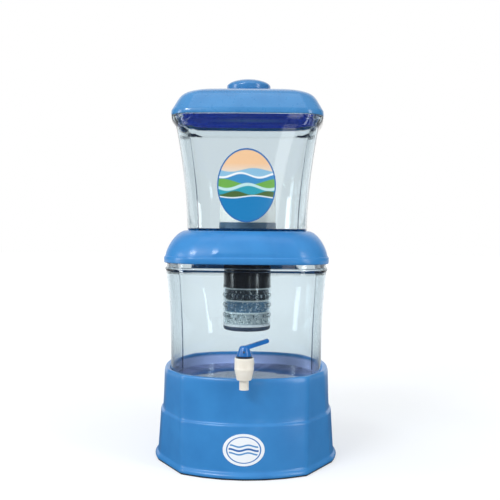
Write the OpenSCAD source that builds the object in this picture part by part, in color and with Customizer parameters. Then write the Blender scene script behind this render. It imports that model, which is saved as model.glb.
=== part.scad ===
// Gravity water filter: a pedestal base, a clear lower tank with a lever tap, a blue middle cover,
// a clear upper tank with a ceramic dome above and a media cartridge below, and a lid with a knob.
// Millimetres, +Z up, front at -Y, origin on the floor under the middle of the base.

/* [Base] */
// Overall width of the pedestal at its foot
base_w = 296; // [290:1:312]
// How far the front and back panels of the pedestal bulge out
base_bulge = 26; // [21:1:29]
// Half length of the front panel at the foot, from its middle to its crease
base_side = 95; // [89:0.5:98]
// How far the two end panels of the pedestal bulge out
end_bulge = 9; // [6:1:12]
// Half length of an end panel at the foot
end_side = 49.5; // [44:0.5:56]
// Height of the pedestal, up to the crown of its rim
base_h = 147.5; // [140:0.5:158]
// Height of the ledge that runs round the pedestal
ledge_z = 81; // [72:1:90]
// Depth of the seat for the lower tank, below the crown of the rim
recess_d = 23.5; // [18:0.5:28]
// Wall of the pedestal
base_wall = 3; // [2.4:0.2:3.6]
// Height of the foot flange at the bottom of the pedestal
flange_h = 10; // [7:0.5:13]
// Height of the rubber ring that the pedestal stands on
foot_h = 2; // [1.6:0.2:3]
// How far the foot of the pedestal stands out past the foot of the lower tank
seat_margin = 26.2; // [25:0.2:32]

/* [Lower tank] */
// How far each side of the lower tank bulges out between its corners
tank_bulge = 4; // [3:0.5:5]
// Height of the lower tank, from its underside to its rim
lower_h = 202; // [190:1:215]
// How much the lower tank widens on each side below its rim
lower_flare = 6; // [4:0.5:8]
// Wall of both clear tanks
tank_wall = 3; // [2.5:0.1:3.5]
// Floor of both clear tanks
tank_floor = 3.5; // [3:0.1:4]

/* [Middle cover] */
// Height of the middle cover
cover_h = 49.5; // [45:0.5:55]
// How far the cover's skirt hangs below the rim of the lower tank
cover_skirt = 9.5; // [8:0.5:11]
// Wall of the cover and of the lid
cover_wall = 3; // [2.4:0.2:3.4]
// Radius of the cover's hole, which the cartridge passes through
cover_hole_r = 47; // [45:0.5:52]

/* [Upper tank] */
// Overall width of the upper tank at its foot
upper_w = 194.2; // [188:0.2:200]
// How much the upper tank widens on each side up to its rim
upper_flare = 19.8; // [16:0.2:22]
// Height of the upper tank, from its underside to its rim
upper_h = 182; // [170:1:195]
// Width of the oval label on the upper tank
label_w = 89; // [80:1:96]
// Height of the oval label
label_h = 111; // [100:1:120]

/* [Lid] */
// How far the lid's skirt hangs below the rim of the upper tank
lid_skirt = 6; // [5:0.5:8]
// Height of the lid above the rim of the upper tank
lid_h = 41.5; // [36:0.5:46]
// Radius of the lid's knob
knob_r = 35.6; // [32:0.4:40]
// Height of the knob above the lid
knob_h = 21.9; // [19:0.1:27]

/* [Ceramic dome] */
// Outer radius of the ceramic dome
dome_r = 45.6; // [42:0.4:48]
// Height of the ceramic dome above its base
dome_h = 78; // [70:1:90]
// Wall of the ceramic dome
dome_wall = 8; // [6:0.5:10]
// Height of the dome's plastic base
dome_base_h = 9.9; // [8:0.1:12]
// Radius of the threaded outlet stem under the dome
outlet_r = 9; // [8:0.2:10]

/* [Cartridge] */
// Outer radius of the cartridge
cart_r = 38.6; // [36:0.2:40]
// Height of the black upper housing of the cartridge
housing_h = 72; // [66:1:76]
// Height of the clear media jar of the cartridge
jar_h = 58.5; // [52:0.5:64]
// Height of the outlet cup at the bottom of the cartridge
outlet_cup_h = 7.2; // [6:0.2:9]
// Wall of the cartridge's housing and jar
cart_wall = 2.2; // [1.8:0.1:2.6]

/* [Tap] */
// Room between the spout and the rim of the pedestal
spout_room = 9.8; // [8:0.2:14]
// Height of the tap's shank above the underside of the lower tank
shank_up = 44; // [42:0.5:50]
// Radius of the tap's body
tap_r = 14.2; // [13.4:0.2:15]
// Radius of the tap's threaded shank
shank_r = 9; // [8:0.2:10]
// Outer radius of the spout's end
spout_r = 7; // [6.4:0.1:7.6]
// Radius of the spout's bore
spout_bore_r = 5; // [4.4:0.1:5.4]
// Length of the lever's arm, from the tap's axis to the end of its tip
arm_l = 36; // [30:0.5:38]
// Rise of the lever's arm at rest, in degrees
arm_rise = 20; // [16:1:24]

/* [Hidden] */

eps = 0.01;                  // overshoot of a cut past the face it opens
fit_gap = 0.3;               // gap between curved pieces that lift apart
snug_gap = 0.1;              // gap between pieces of one assembly that are screwed together
run_gap = 0.05;              // radial clearance of a pin or stem that turns or slides

side_n = 6;                  // steps along one bulged side
corner_n = 4;                // steps round one corner
round_fn = 96;               // facets of the large turned pieces

// Heights of the stack
deck_z = base_h - recess_d;
lower_top = deck_z + lower_h;
cover_z = lower_top - cover_skirt;
cover_top = cover_z + cover_h;
upper_top = cover_top + upper_h;
lid_z = upper_top - lid_skirt;
lid_top = upper_top + lid_h;

// An outline is [front, end, corner fullness]; its back is like its front, and its two ends are alike.
// A panel is [distance from the middle at its ends, half length, bulge], and bulges out as a parabola.
// A corner is a curve from one panel to the next, and a straight chamfer at fullness 0.
function square_o(panel, fullness) = [panel, panel, fullness];
function widened(o, by, longer) = [o[0] + [by, longer, 0], o[1] + [by, longer, 0], o[2]];
function grown(o, d) = widened(o, d, d * tan(22.5));
function scaled(o, s) = [o[0] * s, o[1] * s, o[2]];
function side_pt(s, t) = [s[1] * t, -s[0] - s[2] * (1 - t * t)];
function corner_pt(s, e, q, t) =
    let (a = [s[1], -s[0]], b = [e[0], -e[1]], m = (a + b) / 2, k = m + q * ([e[0], -s[0]] - m))
    (1 - t) * (1 - t) * a + 2 * t * (1 - t) * k + t * t * b;
function turned(p, a) = [p[0] * cos(a) - p[1] * sin(a), p[0] * sin(a) + p[1] * cos(a)];
function quarter(s, e, q) = [
    for (i = [0 : side_n - 1]) side_pt(s, 2 * i / side_n - 1),
    for (i = [0 : corner_n - 1]) corner_pt(s, e, q, i / corner_n)];
function outline(o) = [for (k = [0 : 3])
    for (p = quarter(o[k % 2], o[(k + 1) % 2], o[2])) turned(p, 90 * k)];

// A closed solid through rings, each given as [height, outline]; the first and last are capped.
module loft(rings) {
    n = 4 * (side_n + corner_n);
    last = len(rings) - 1;
    points = [for (r = rings) for (p = outline(r[1])) [p[0], p[1], r[0]]];
    walls = [for (k = [0 : last - 1]) for (i = [0 : n - 1])
        let (a = k * n + i, b = k * n + (i + 1) % n)
        each [[a, a + n, b + n], [a, b + n, b]]];
    first_cap = [for (i = [0 : n - 1]) i];
    last_cap = [for (i = [n - 1 : -1 : 0]) last * n + i];
    polyhedron(points, concat([first_cap], walls, [last_cap]));
}

// A ring of constant height between two outlines
module flat_ring(outer, inner, z, h) {
    translate([0, 0, z]) linear_extrude(h) difference() {
        polygon(outline(outer));
        polygon(outline(inner));
    }
}

module tube(r, bore, h) {
    difference() {
        cylinder(r = r, h = h);
        translate([0, 0, -eps]) cylinder(r = bore, h = h + 2 * eps);
    }
}

module hex_nut(across, bore, h) {
    difference() {
        cylinder(d = across / cos(30), h = h, $fn = 6);
        translate([0, 0, -eps]) cylinder(r = bore, h = h + 2 * eps, $fn = 48);
    }
}

// ---- Pedestal ----
side_gain = 1.5;             // how much longer half a front panel is at the rim
end_gain = 11;               // how much longer half an end panel is at the rim
flange_s = 0.967;            // size above the foot flange, as a share of the foot
waist_s = 0.938;             // size just below the ledge
ledge_s = 0.916;             // size just above the ledge
brow_s = 0.9;                // size under the rim
crown_s = 0.879;             // size at the crown of the rim
ledge_drop = 3;              // height over which the ledge steps in
ledge_rise = 18;             // height over which the wall straightens above the ledge
brow_drop = 10;              // depth of the rounded brow below the crown

// Size of the pedestal at height z, as a share of the foot
function base_share(z) = lookup(z, [
    [foot_h, 1], [flange_h * 0.4, 0.999], [flange_h, flange_s + 0.004], [flange_h + 3, flange_s],
    [ledge_z - ledge_drop, waist_s], [ledge_z, ledge_s], [ledge_z + ledge_rise, ledge_s - 0.008],
    [base_h - brow_drop, brow_s], [base_h, crown_s]]);

// Outline of the pedestal at height z, at share s of its width
function base_ring(z, s) =
    let (half = base_w / 2 * s, up = z / base_h)
    [[half - base_bulge, base_side + side_gain * up, base_bulge],
        [half - end_bulge, end_side + end_gain * up, end_bulge], 0];
function base_at(z) = base_ring(z, base_share(z));
base_o = base_ring(0, 1);

lower_side = 52;             // half length of a side of the lower tank at its foot
tank_corner = 0.5;           // corner fullness of the tanks and covers
recess_gap = 0.8;            // room round the lower tank in its seat
lower_o = square_o([base_w / 2 - seat_margin - tank_bulge, lower_side, tank_bulge], tank_corner);
recess_o = grown(lower_o, recess_gap);

module base_shell() {
    rim = [[1, brow_s], [0.4, brow_s - 0.0035], [0.1, brow_s - 0.011], [0, crown_s]];
    outside = [for (z = [foot_h, flange_h * 0.4, flange_h * 0.7, flange_h, flange_h + 3,
        ledge_z - ledge_drop, ledge_z, ledge_z + ledge_rise]) [z, base_at(z)]];
    inside = [for (z = [deck_z - base_wall, ledge_z + ledge_rise, ledge_z, ledge_z - ledge_drop,
        flange_h + 3, foot_h]) [z, grown(base_at(z), -base_wall)]];
    lip = 3.5;                            // rounded inner lip of the rim
    color("steelblue") loft(concat(inside, outside,
        [for (r = rim) let (z = base_h - brow_drop * r[0]) [z, base_ring(z, r[1])]],
        [for (r = [[0, 0.6], [0.2, 0.25], [1, 0.05]]) [base_h - lip * r[0], grown(recess_o, lip * r[1])]],
        [[deck_z, recess_o]]));
}

module foot_ring() {
    color("dimgray") flat_ring(scaled(base_o, 0.99), scaled(base_o, 0.93), 0, foot_h);
}

// ---- Oval plates ----
badge_w = 62;                // width of the badge on the pedestal
badge_h = 47;                // height of the badge
badge_z = ledge_z * 0.54;    // middle of the badge
plate_t = 0.4;               // thickness of the badge and of the label
plate_gap = 0.08;            // glue line behind them
rings_n = 5;                 // rings from the middle of an oval plate to its edge
spokes_n = 36;               // points round an oval plate

// Distance of the front wall of outline o from the middle, at offset x along it
function wall_y(x, o) = o[0][0] + o[0][2] * (1 - pow(x / o[0][1], 2));

function base_front(x, z) = wall_y(x, base_at(z));
function plate_pt(k, i, w, h) = [w / 2 * k / rings_n * cos(360 * i / spokes_n),
    h / 2 * k / rings_n * sin(360 * i / spokes_n)];

// Closed oval plate from its front and back points
module oval_plate(front, back) {
    m = len(front);
    ring = function (k, i) 1 + (k - 1) * spokes_n + i % spokes_n;
    fans = [for (i = [0 : spokes_n - 1]) each [[0, ring(1, i + 1), ring(1, i)],
        [m, m + ring(1, i), m + ring(1, i + 1)]]];
    bands = [for (k = [1 : rings_n - 1]) for (i = [0 : spokes_n - 1])
        let (a = ring(k, i), b = ring(k, i + 1), c = ring(k + 1, i + 1), d = ring(k + 1, i))
        each [[a, b, c], [a, c, d], [m + a, m + c, m + b], [m + a, m + d, m + c]]];
    edge = [for (i = [0 : spokes_n - 1])
        let (a = ring(rings_n, i), b = ring(rings_n, i + 1))
        each [[a, b, m + b], [a, m + b, m + a]]];
    polyhedron(concat(front, back), concat(fans, bands, edge));
}

function plate_grid(w, h) = concat([[0, 0]],
    [for (k = [1 : rings_n]) for (i = [0 : spokes_n - 1]) plate_pt(k, i, w, h)]);

module front_badge() {
    grid = plate_grid(badge_w, badge_h);
    color("white") oval_plate(
        [for (p = grid) [p[0], -base_front(p[0], badge_z + p[1]) - plate_gap - plate_t, badge_z + p[1]]],
        [for (p = grid) [p[0], -base_front(p[0], badge_z + p[1]) - plate_gap, badge_z + p[1]]]);
}

// ---- Lower tank ----
bead_drop = 9;               // depth of the bead below the edge of the cover
bead_z = lower_top - cover_skirt - bead_drop;
bead_out = 1.2;              // how far the bead stands out
heel = 4;                    // height of the rounded heel of the lower tank
lower_side_gain = 28;        // how much longer a side is at the neck
wall_rings = 10;             // rings along the wall of a tank

// Outline of the lower tank at height z
function lower_at(z) =
    let (t = min(1, max(0, (z - deck_z) / (bead_z - deck_z))), f = pow(t, 2.44))
    widened(lower_o, lower_flare * f, lower_side_gain * f);

neck_in = 1.3;               // how far the rim inside the cover's skirt steps in
neck_o = grown(lower_at(bead_z), -neck_in);

module lower_tank() {
    last = wall_rings - 1;
    wall_z = [for (i = [0 : last]) deck_z + heel + (bead_z - 3 - deck_z - heel) * i / last];
    outside = [for (z = wall_z) [z, lower_at(z)]];
    inside = [for (i = [last : -1 : 0]) [wall_z[i], grown(lower_at(wall_z[i]), -tank_wall)]];
    color("lightcyan", 0.4) difference() {
        loft(concat(
            [[deck_z, grown(lower_o, -heel)], [deck_z + heel * 0.3, grown(lower_o, -heel * 0.3)]],
            outside,
            [[bead_z - 1, grown(lower_at(bead_z), bead_out)], [bead_z + 1, grown(lower_at(bead_z), bead_out)],
                [bead_z + 3, neck_o], [lower_top, neck_o],
                [lower_top, grown(neck_o, -tank_wall)], [bead_z, grown(neck_o, -tank_wall)]],
            inside,
            [[deck_z + tank_floor, grown(lower_o, -heel - 1)]]));
        on_shank(wall_front + 3 * tank_wall) cylinder(r = shank_r + 0.5, h = 9 * tank_wall, $fn = 64);
    }
}

// ---- Tap ----
tap_y = base_w / 2 * brow_s + spout_room + spout_r;   // distance of the tap's upright axis from the middle
shank_z = deck_z + shank_up;
washer_t = 2.5;                           // thickness of the tap's rubber washers
washer_r = 13.5;                          // radius of those washers and of the shank's flange
washer_gap = 0.1;
// Outermost point of the tank's wall behind the outer washer, and innermost point under the inner one
wall_front = wall_y(0, lower_at(shank_z + washer_r));
wall_back = wall_y(washer_r, grown(lower_at(shank_z - washer_r), -tank_wall));
flange_t = 3;                             // thickness of the shank's flange
tap_top = shank_z + 14;                   // top of the tap's body
ridge_z = shank_z - 1.5;                  // ridge below which the body tapers
spout_top = shank_z - 18;                 // where the taper meets the spout
spout_l = 14.7;                           // length of the spout
spout_end = spout_top - spout_l;          // mouth of the spout
chamber_r = 9.6;                          // radius of the valve chamber
shank_wall = 3;
seat_z = shank_z - 13;                    // valve seat
shank_in = 24;                            // how far the shank reaches behind the tank's outer face
bonnet_t = 1.6;                           // visible flange of the bonnet
bonnet_h = 6;                             // screwed part of the bonnet
stem_r = 2.5;                             // radius of the stem
pin_r = 1.5;                              // radius of the lever's pin
swivel_t = 1.1;                           // thickness of the swivel washer
washer_top = tap_top + bonnet_t + swivel_t;
pin_up = 6.5;                             // pin above the lever's bottom face
lever_z = washer_top + snug_gap;          // bottom face of the lever
pin_z = lever_z + pin_up;
head_r = 11;                              // radius of the lever's head at its bottom
head_top_r = 6.3;                         // radius of the head at its top
head_h = 14.5;                            // height of the head

module tap_place() { translate([0, -tap_y, 0]) children(); }

module tap_body() {
    color("antiquewhite") tap_place() difference() {
        union() {
            rotate_extrude($fn = round_fn) polygon([
                [0, spout_end], [spout_r, spout_end], [spout_r, spout_top - 1.5], [spout_r + 1, spout_top],
                [tap_r - 3.4, spout_top], [tap_r + 0.1, ridge_z - 1], [tap_r + 0.1, ridge_z],
                [tap_r - 0.2, ridge_z + 0.5], [tap_r, tap_top - 0.6], [tap_r - 0.6, tap_top], [0, tap_top]]);
            translate([0, 0, shank_z]) rotate([-90, 0, 0])
                cylinder(r = shank_r, h = tap_y - wall_front + shank_in, $fn = round_fn);
            translate([0, tap_y - wall_front - washer_t - washer_gap - flange_t, shank_z]) rotate([-90, 0, 0])
                cylinder(r = washer_r, h = flange_t, $fn = round_fn);
        }
        translate([0, 0, spout_end - eps])
            cylinder(r = spout_bore_r, h = seat_z - spout_end + 2 * eps, $fn = 64);
        translate([0, 0, seat_z]) cylinder(r = chamber_r, h = tap_top - seat_z + eps, $fn = round_fn);
        translate([0, 0, shank_z]) rotate([-90, 0, 0])
            cylinder(r = shank_r - shank_wall, h = tap_y, $fn = 64);
    }
}

module tap_bonnet() {
    color("dimgray") tap_place() translate([0, 0, tap_top]) difference() {
        union() {
            cylinder(r = head_r + 1, h = bonnet_t, $fn = round_fn);
            translate([0, 0, -bonnet_h])
                cylinder(r = chamber_r - snug_gap, h = bonnet_h + eps, $fn = round_fn);
        }
        translate([0, 0, -bonnet_h - eps])
            cylinder(r = stem_r + run_gap, h = bonnet_h + bonnet_t + 2 * eps, $fn = 48);
    }
}

// A washer or nut on the shank, with its front face at distance y from the middle of the filter
module on_shank(y) { translate([0, -y, shank_z]) rotate([-90, 0, 0]) children(); }

inner_face = wall_back - washer_gap;      // where the inner washer bears on the wall
lock_across = 26;                         // width across the flats of the lock nut
lock_h = 7;                               // height of the lock nut

module tap_outer_washer() {
    color("dimgray") on_shank(wall_front + washer_t + washer_gap)
        tube(washer_r, shank_r + snug_gap, washer_t, $fn = round_fn);
}

module tap_inner_washer() {
    color("dimgray") on_shank(inner_face) tube(washer_r, shank_r + snug_gap, washer_t, $fn = round_fn);
}

module tap_lock_nut() {
    color("antiquewhite") on_shank(inner_face - washer_t) hex_nut(lock_across, shank_r + snug_gap, lock_h);
}

module tap_swivel_washer() {
    color("dimgray") tap_place() translate([0, 0, tap_top + bonnet_t])
        tube(head_r - 1, stem_r + run_gap, swivel_t, $fn = round_fn);
}

cup_h = 8;                                // height of the silicone seat cup
cup_r = 7.6;                              // radius of the seat cup
socket_z = 3;                             // height of the stem's end inside the cup
collar_t = 1;                             // thickness of the stem's collar on the cup

module tap_stem() {
    color("gainsboro") tap_place() difference() {
        union() {
            translate([0, 0, seat_z + socket_z])
                cylinder(r = stem_r, h = pin_z + 2 * pin_r - seat_z - socket_z, $fn = 48);
            translate([0, 0, seat_z + cup_h]) cylinder(r = cup_r - 1, h = collar_t, $fn = 48);
        }
        translate([0, -head_r, pin_z]) rotate([-90, 0, 0]) cylinder(r = pin_r, h = 2 * head_r, $fn = 48);
    }
}

module tap_seat_cup() {
    color("whitesmoke") tap_place() translate([0, 0, seat_z]) difference() {
        rotate_extrude($fn = round_fn) polygon([
            [0, 0], [cup_r - 0.6, 0], [cup_r, 0.6], [cup_r, 2.5], [cup_r - 2, cup_h - 1.5],
            [cup_r - 3, cup_h], [0, cup_h]]);
        translate([0, 0, socket_z - eps]) cylinder(r = stem_r, h = cup_h, $fn = 48);
    }
}

spring_r = 5.2;                           // radius of the spring at the middle of its wire
spring_wire = 0.5;                        // radius of the spring's wire
spring_turns = 4;
wire_n = 8;                               // sides of the wire
turn_n = 20;                              // steps along one turn
spring_z = seat_z + cup_h + collar_t + spring_wire + 0.05;
spring_top = tap_top - bonnet_h - spring_wire - 0.05;

module tap_spring() {
    steps = spring_turns * turn_n;
    ring = function (s) let (a = 360 * s / turn_n, z = spring_z + (spring_top - spring_z) * s / steps)
        [for (i = [0 : wire_n - 1]) let (b = 360 * i / wire_n, r = spring_r + spring_wire * cos(b))
            [r * cos(a), r * sin(a), z + spring_wire * sin(b)]];
    points = [for (s = [0 : steps]) each ring(s)];
    walls = [for (s = [0 : steps - 1]) for (i = [0 : wire_n - 1])
        let (a = s * wire_n + i, b = s * wire_n + (i + 1) % wire_n)
        each [[a, b, b + wire_n], [a, b + wire_n, a + wire_n]]];
    color("silver") tap_place() polyhedron(points, concat(
        [[for (i = [wire_n - 1 : -1 : 0]) i]], walls, [[for (i = [0 : wire_n - 1]) steps * wire_n + i]]));
}

pin_l = 15.6;                             // length of the lever's pin
module lever_pin() {
    color("silver") tap_place() translate([0, -pin_l / 2, pin_z]) rotate([-90, 0, 0])
        cylinder(r = pin_r, h = pin_l, $fn = 48);
}

arm_r = 2.9;                              // half the thickness of the arm
arm_w = 9;                                // width of the arm

module arm_end(x, z, r) {
    translate([x, -arm_w / 2, z]) rotate([-90, 0, 0]) cylinder(r = r, h = arm_w, $fn = 32);
}

module tap_lever() {
    slot_w = 2 * stem_r + 2 * fit_gap;
    slot_l = 12;                          // room for the stem when the lever tilts
    reach = arm_l - arm_r;
    root_z = lever_z + head_h - arm_r;
    color("royalblue") tap_place() difference() {
        union() {
            translate([0, 0, lever_z]) rotate_extrude($fn = round_fn) polygon([
                [0, 0], [head_r, 0], [head_r, 1.2], [head_top_r + 1, head_h - 2.5],
                [head_top_r, head_h - 0.8], [head_top_r - 1.5, head_h], [0, head_h]]);
            hull() {
                arm_end(1, root_z, arm_r);
                arm_end(reach, root_z + (reach - 1) * tan(arm_rise) - 1, arm_r);
            }
        }
        translate([-slot_l / 2, -slot_w / 2, lever_z - eps]) cube([slot_l, slot_w, pin_up + 2 * stem_r]);
        translate([0, -head_r, pin_z]) rotate([-90, 0, 0])
            cylinder(r = pin_r + run_gap, h = 2 * head_r, $fn = 48);
    }
}

// ---- Middle cover ----
lid_gap = 0.7;               // room between a tank's rim and the skirt round it
lip_o = grown(neck_o, cover_wall + lid_gap);
lip_h = 10;                  // height of the cover's upright lip
upper_side = 54;             // half length of a side of the upper tank at its foot
upper_o = square_o([upper_w / 2 - tank_bulge, upper_side, tank_bulge], tank_corner);
plateau_edge = 3;            // flat margin of the cover round the foot of the upper tank
plateau_o = grown(upper_o, plateau_edge);

// Outline of the cover at share t of its height, from the lip to the plateau that the upper tank stands on
function cover_at(t) =
    let (f = pow(1 - pow(t, 1.8), 0.62))
    [for (i = [0 : 2]) plateau_o[i] + (lip_o[i] - plateau_o[i]) * f];

module middle_cover() {
    shares = [0.26, 0.38, 0.5, 0.62, 0.74, 0.84, 0.92, 0.97, 1];
    lip_in = grown(neck_o, lid_gap);
    seat_in = grown(neck_o, -tank_wall - 1);
    lip_bead = 0.5;                       // swell of the lip
    color("steelblue") difference() {
        loft(concat(
            [[cover_top - cover_wall, grown(cover_at(0.97), -cover_wall)]],
            [for (t = [0.84, 0.62, 0.4]) [cover_z + cover_h * t - 1, grown(cover_at(t), -cover_wall)]],
            [[lower_top, seat_in], [lower_top, lip_in], [cover_z, lip_in],
                [cover_z, lip_o], [cover_z + lip_h * 0.15, grown(lip_o, lip_bead)],
                [cover_z + lip_h * 0.85, grown(lip_o, lip_bead)], [cover_z + lip_h, grown(lip_o, -lip_bead)]],
            [for (t = shares) [cover_z + cover_h * t, cover_at(t)]]));
        translate([0, 0, cover_top - 2 * cover_wall])
            cylinder(r = cover_hole_r, h = 3 * cover_wall, $fn = round_fn);
    }
}

// ---- Upper tank ----
rim_up = 17;                 // height of the rim that flares out at the top of the tank
rim_out = 2.5;               // how far that rim stands out
skirt_out = 0.6;             // how far the lid's skirt stands past that rim
upper_side_gain = 34;        // how much longer a side is at the rim
foot_up = 4;                 // height of the rounded foot of the tank
boss_h = 5;                  // height of the ring that locates the tank in the cover's hole
boss_wall = 2.7;

// Outline of the upper tank at height z
function upper_at(z) =
    let (t = max(0, (z - cover_top) / upper_h), f = pow(t, 1.76))
    widened(upper_o, upper_flare * f, upper_side_gain * f);

rim_o = grown(upper_at(upper_top), rim_out);
lid_o = grown(rim_o, skirt_out);
rim_neck = grown(lid_o, -cover_wall - lid_gap);   // the tank's edge inside the lid's skirt

module upper_tank() {
    last = wall_rings - 1;
    shoulder_z = lid_z - 0.5;             // top of the rim, just under the lid's skirt
    wall_z = [for (i = [0 : last]) cover_top + foot_up + (upper_h - rim_up - foot_up) * i / last];
    color("lightcyan", 0.4) difference() {
        union() {
            loft(concat(
                [[cover_top, grown(upper_o, -foot_up * 0.8)],
                    [cover_top + foot_up / 3, grown(upper_o, -foot_up / 4)]],
                [for (z = wall_z) [z, upper_at(z)]],
                [[upper_top - rim_up * 0.78, grown(rim_o, -1.2)], [upper_top - rim_up * 0.6, rim_o],
                    [shoulder_z, rim_o], [shoulder_z, rim_neck], [upper_top, rim_neck],
                    [upper_top, grown(rim_neck, -tank_wall)], [lid_z, grown(rim_neck, -tank_wall)]],
                [for (i = [last : -1 : 0]) [wall_z[i], grown(upper_at(wall_z[i]), -tank_wall)]],
                [[cover_top + tank_floor, grown(upper_o, -foot_up)]]));
            translate([0, 0, cover_top - boss_h])
                tube(cover_hole_r - fit_gap, cover_hole_r - fit_gap - boss_wall, boss_h + 1, $fn = round_fn);
        }
        translate([0, 0, cover_top - eps])
            cylinder(r = outlet_r + 0.3, h = tank_floor + 2 * eps, $fn = 64);
    }
}

label_up = 69;                            // middle of the label above the foot of the tank
label_z = cover_top + label_up;
module front_label() {
    grid = plate_grid(label_w, label_h);
    front = function (p, d) [p[0], -wall_y(p[0], upper_at(label_z + p[1])) - d, label_z + p[1]];
    color("deepskyblue") oval_plate(
        [for (p = grid) front(p, plate_gap + plate_t)], [for (p = grid) front(p, plate_gap)]);
}

// ---- Ceramic dome ----
floor_z = cover_top + tank_floor;         // inner floor of the upper tank
base_top = floor_z + dome_base_h;         // top of the dome's plastic base
base_gap = 0.5;                           // gap under the base, which stands on its gasket
gasket_r = 18;                            // radius of the gasket and of the washer under the floor
gasket_t = 2;
arc_n = 14;                               // steps of a quarter arc

// Quarter ellipse from the side (r, z) to the top on the axis
function crown(r, z, h) = [for (i = [0 : arc_n]) [r * cos(90 * i / arc_n), z + h * sin(90 * i / arc_n)]];

module ceramic_dome() {
    round_h = dome_r * 0.86;              // height of the domed top
    spring_line = base_top + dome_h - round_h;
    inside = crown(dome_r - dome_wall, spring_line, round_h - dome_wall);
    color("ivory") rotate_extrude($fn = round_fn) polygon(concat(
        [[dome_r - dome_wall, base_top], [dome_r, base_top]],
        crown(dome_r, spring_line, round_h),
        [for (i = [arc_n : -1 : 0]) inside[i]]));
}

outlet_l = 26;                            // length of the outlet stem below the tank
outlet_end = cover_top - outlet_l;
outlet_wall = 4;

module ceramic_base() {
    rim_r = dome_r + 0.9;
    color("slategray") difference() {
        union() {
            rotate_extrude($fn = round_fn) polygon([
                [0, floor_z + base_gap], [rim_r - 0.5, floor_z + base_gap], [rim_r, floor_z + 2 * base_gap],
                [rim_r, base_top - 1], [rim_r - 0.5, base_top], [0, base_top]]);
            translate([0, 0, outlet_end]) cylinder(r = outlet_r, h = base_top - outlet_end - 1, $fn = 64);
        }
        translate([0, 0, outlet_end - eps])
            cylinder(r = outlet_r - outlet_wall, h = base_top - outlet_end + 2 * eps, $fn = 48);
        translate([0, 0, floor_z]) tube(gasket_r + snug_gap, outlet_r, gasket_t, $fn = round_fn);
    }
}

module dome_gasket() {
    color("dimgray") translate([0, 0, floor_z]) tube(gasket_r, outlet_r + snug_gap, gasket_t, $fn = round_fn);
}

nut_washer_t = 1.5;
outlet_nut_h = 6;
outlet_nut_across = 32;
module outlet_washer() {
    color("dimgray") translate([0, 0, cover_top - nut_washer_t])
        tube(gasket_r, outlet_r + snug_gap, nut_washer_t, $fn = round_fn);
}

module outlet_nut() {
    color("slategray") translate([0, 0, cover_top - nut_washer_t - outlet_nut_h])
        hex_nut(outlet_nut_across, outlet_r + snug_gap, outlet_nut_h);
}

// ---- Cartridge ----
neck_h = 11;                              // height of the housing's neck, below the outlet nut
neck_wall = 5;
housing_top = cover_top - nut_washer_t - outlet_nut_h - neck_h - 1.5;   // shoulder of the black housing
jar_top = housing_top - housing_h;
jar_z = jar_top - jar_h;
screen_h = 3.6;                           // height of the slotted screen
cart_z = jar_z - outlet_cup_h - screen_h; // lowest point of the cartridge
rib_out = 1.1;                            // how far a rib of the jar stands out
seal_h = 2;                               // height of the seal on the jar's top
pad_t = 2.4;                              // thickness of a separator pad

module cartridge_housing() {
    color("black") rotate_extrude($fn = round_fn) polygon([
        [outlet_r + snug_gap, housing_top - 9], [outlet_r + neck_wall, housing_top - 9],
        [outlet_r + neck_wall, housing_top - 3],
        [cart_r - cart_wall, housing_top - 5], [cart_r - cart_wall, jar_top],
        [cart_r + 0.6, jar_top], [cart_r + 0.6, jar_top + 3], [cart_r, jar_top + 4],
        [cart_r, housing_top - 5], [cart_r - 1.5, housing_top - 2], [cart_r - 6, housing_top],
        [outlet_r + neck_wall + 1, housing_top], [outlet_r + neck_wall, housing_top + neck_h],
        [outlet_r + snug_gap, housing_top + neck_h]]);
}

module carbon_block() {
    color("dimgray") translate([0, 0, jar_top + seal_h + 0.5])
        tube(cart_r - cart_wall - 0.4, outlet_r, housing_h - seal_h - 12, $fn = round_fn);
}

module cartridge_seal() {
    color("dimgray") translate([0, 0, jar_top])
        tube(cart_r - cart_wall - snug_gap, cart_r - cart_wall - 5, seal_h, $fn = round_fn);
}

ribs = [0.235, 0.515, 0.785];             // heights of the jar's ribs, as shares of its height
rib_h = 5;

module cartridge_jar() {
    rib = [for (i = [0 : 6]) [rib_out * sin(30 * i), rib_h * (i / 6 - 0.5)]];
    color("lightcyan", 0.4) rotate_extrude($fn = round_fn) polygon(concat(
        [[cart_r - cart_wall, jar_z], [cart_r, jar_z]],
        [for (s = ribs) for (p = rib) [cart_r + p[0], jar_z + jar_h * s + p[1]]],
        [[cart_r, jar_top], [cart_r - cart_wall, jar_top]]));
}

media_r = cart_r - cart_wall - snug_gap;
bed_h = (jar_h - 3 * pad_t - 4 * 0.05) / 3;   // three beds between three pads, with a hair of air
// Bottom of bed i, counted from the lowest
function bed_z(i) = jar_z + 0.05 + i * (bed_h + pad_t + 0.05);

module bed(i) { translate([0, 0, bed_z(i)]) cylinder(r = media_r, h = bed_h - 0.05, $fn = round_fn); }
module pad(i) { translate([0, 0, bed_z(i) + bed_h]) cylinder(r = media_r, h = pad_t, $fn = round_fn); }

module upper_pad() { color("white") pad(2); }
module mineral_bed() { color("darkgray") bed(2); }
module middle_pad() { color("white") pad(1); }
module zeolite_bed() { color("lightsteelblue") bed(1); }
module lower_pad() { color("white") pad(0); }
module silica_bed() { color("lightgray") bed(0); }

module outlet_screen() {
    slots = 24;                           // slots round the screen's rim
    color("white") difference() {
        translate([0, 0, jar_z - screen_h]) cylinder(r = cart_r + 0.2, h = screen_h, $fn = round_fn);
        for (i = [0 : slots - 1]) rotate(360 * i / slots)
            translate([cart_r - 2, -1.2, jar_z - screen_h + 1]) cube([3, 2.4, screen_h - 2]);
    }
}

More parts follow.
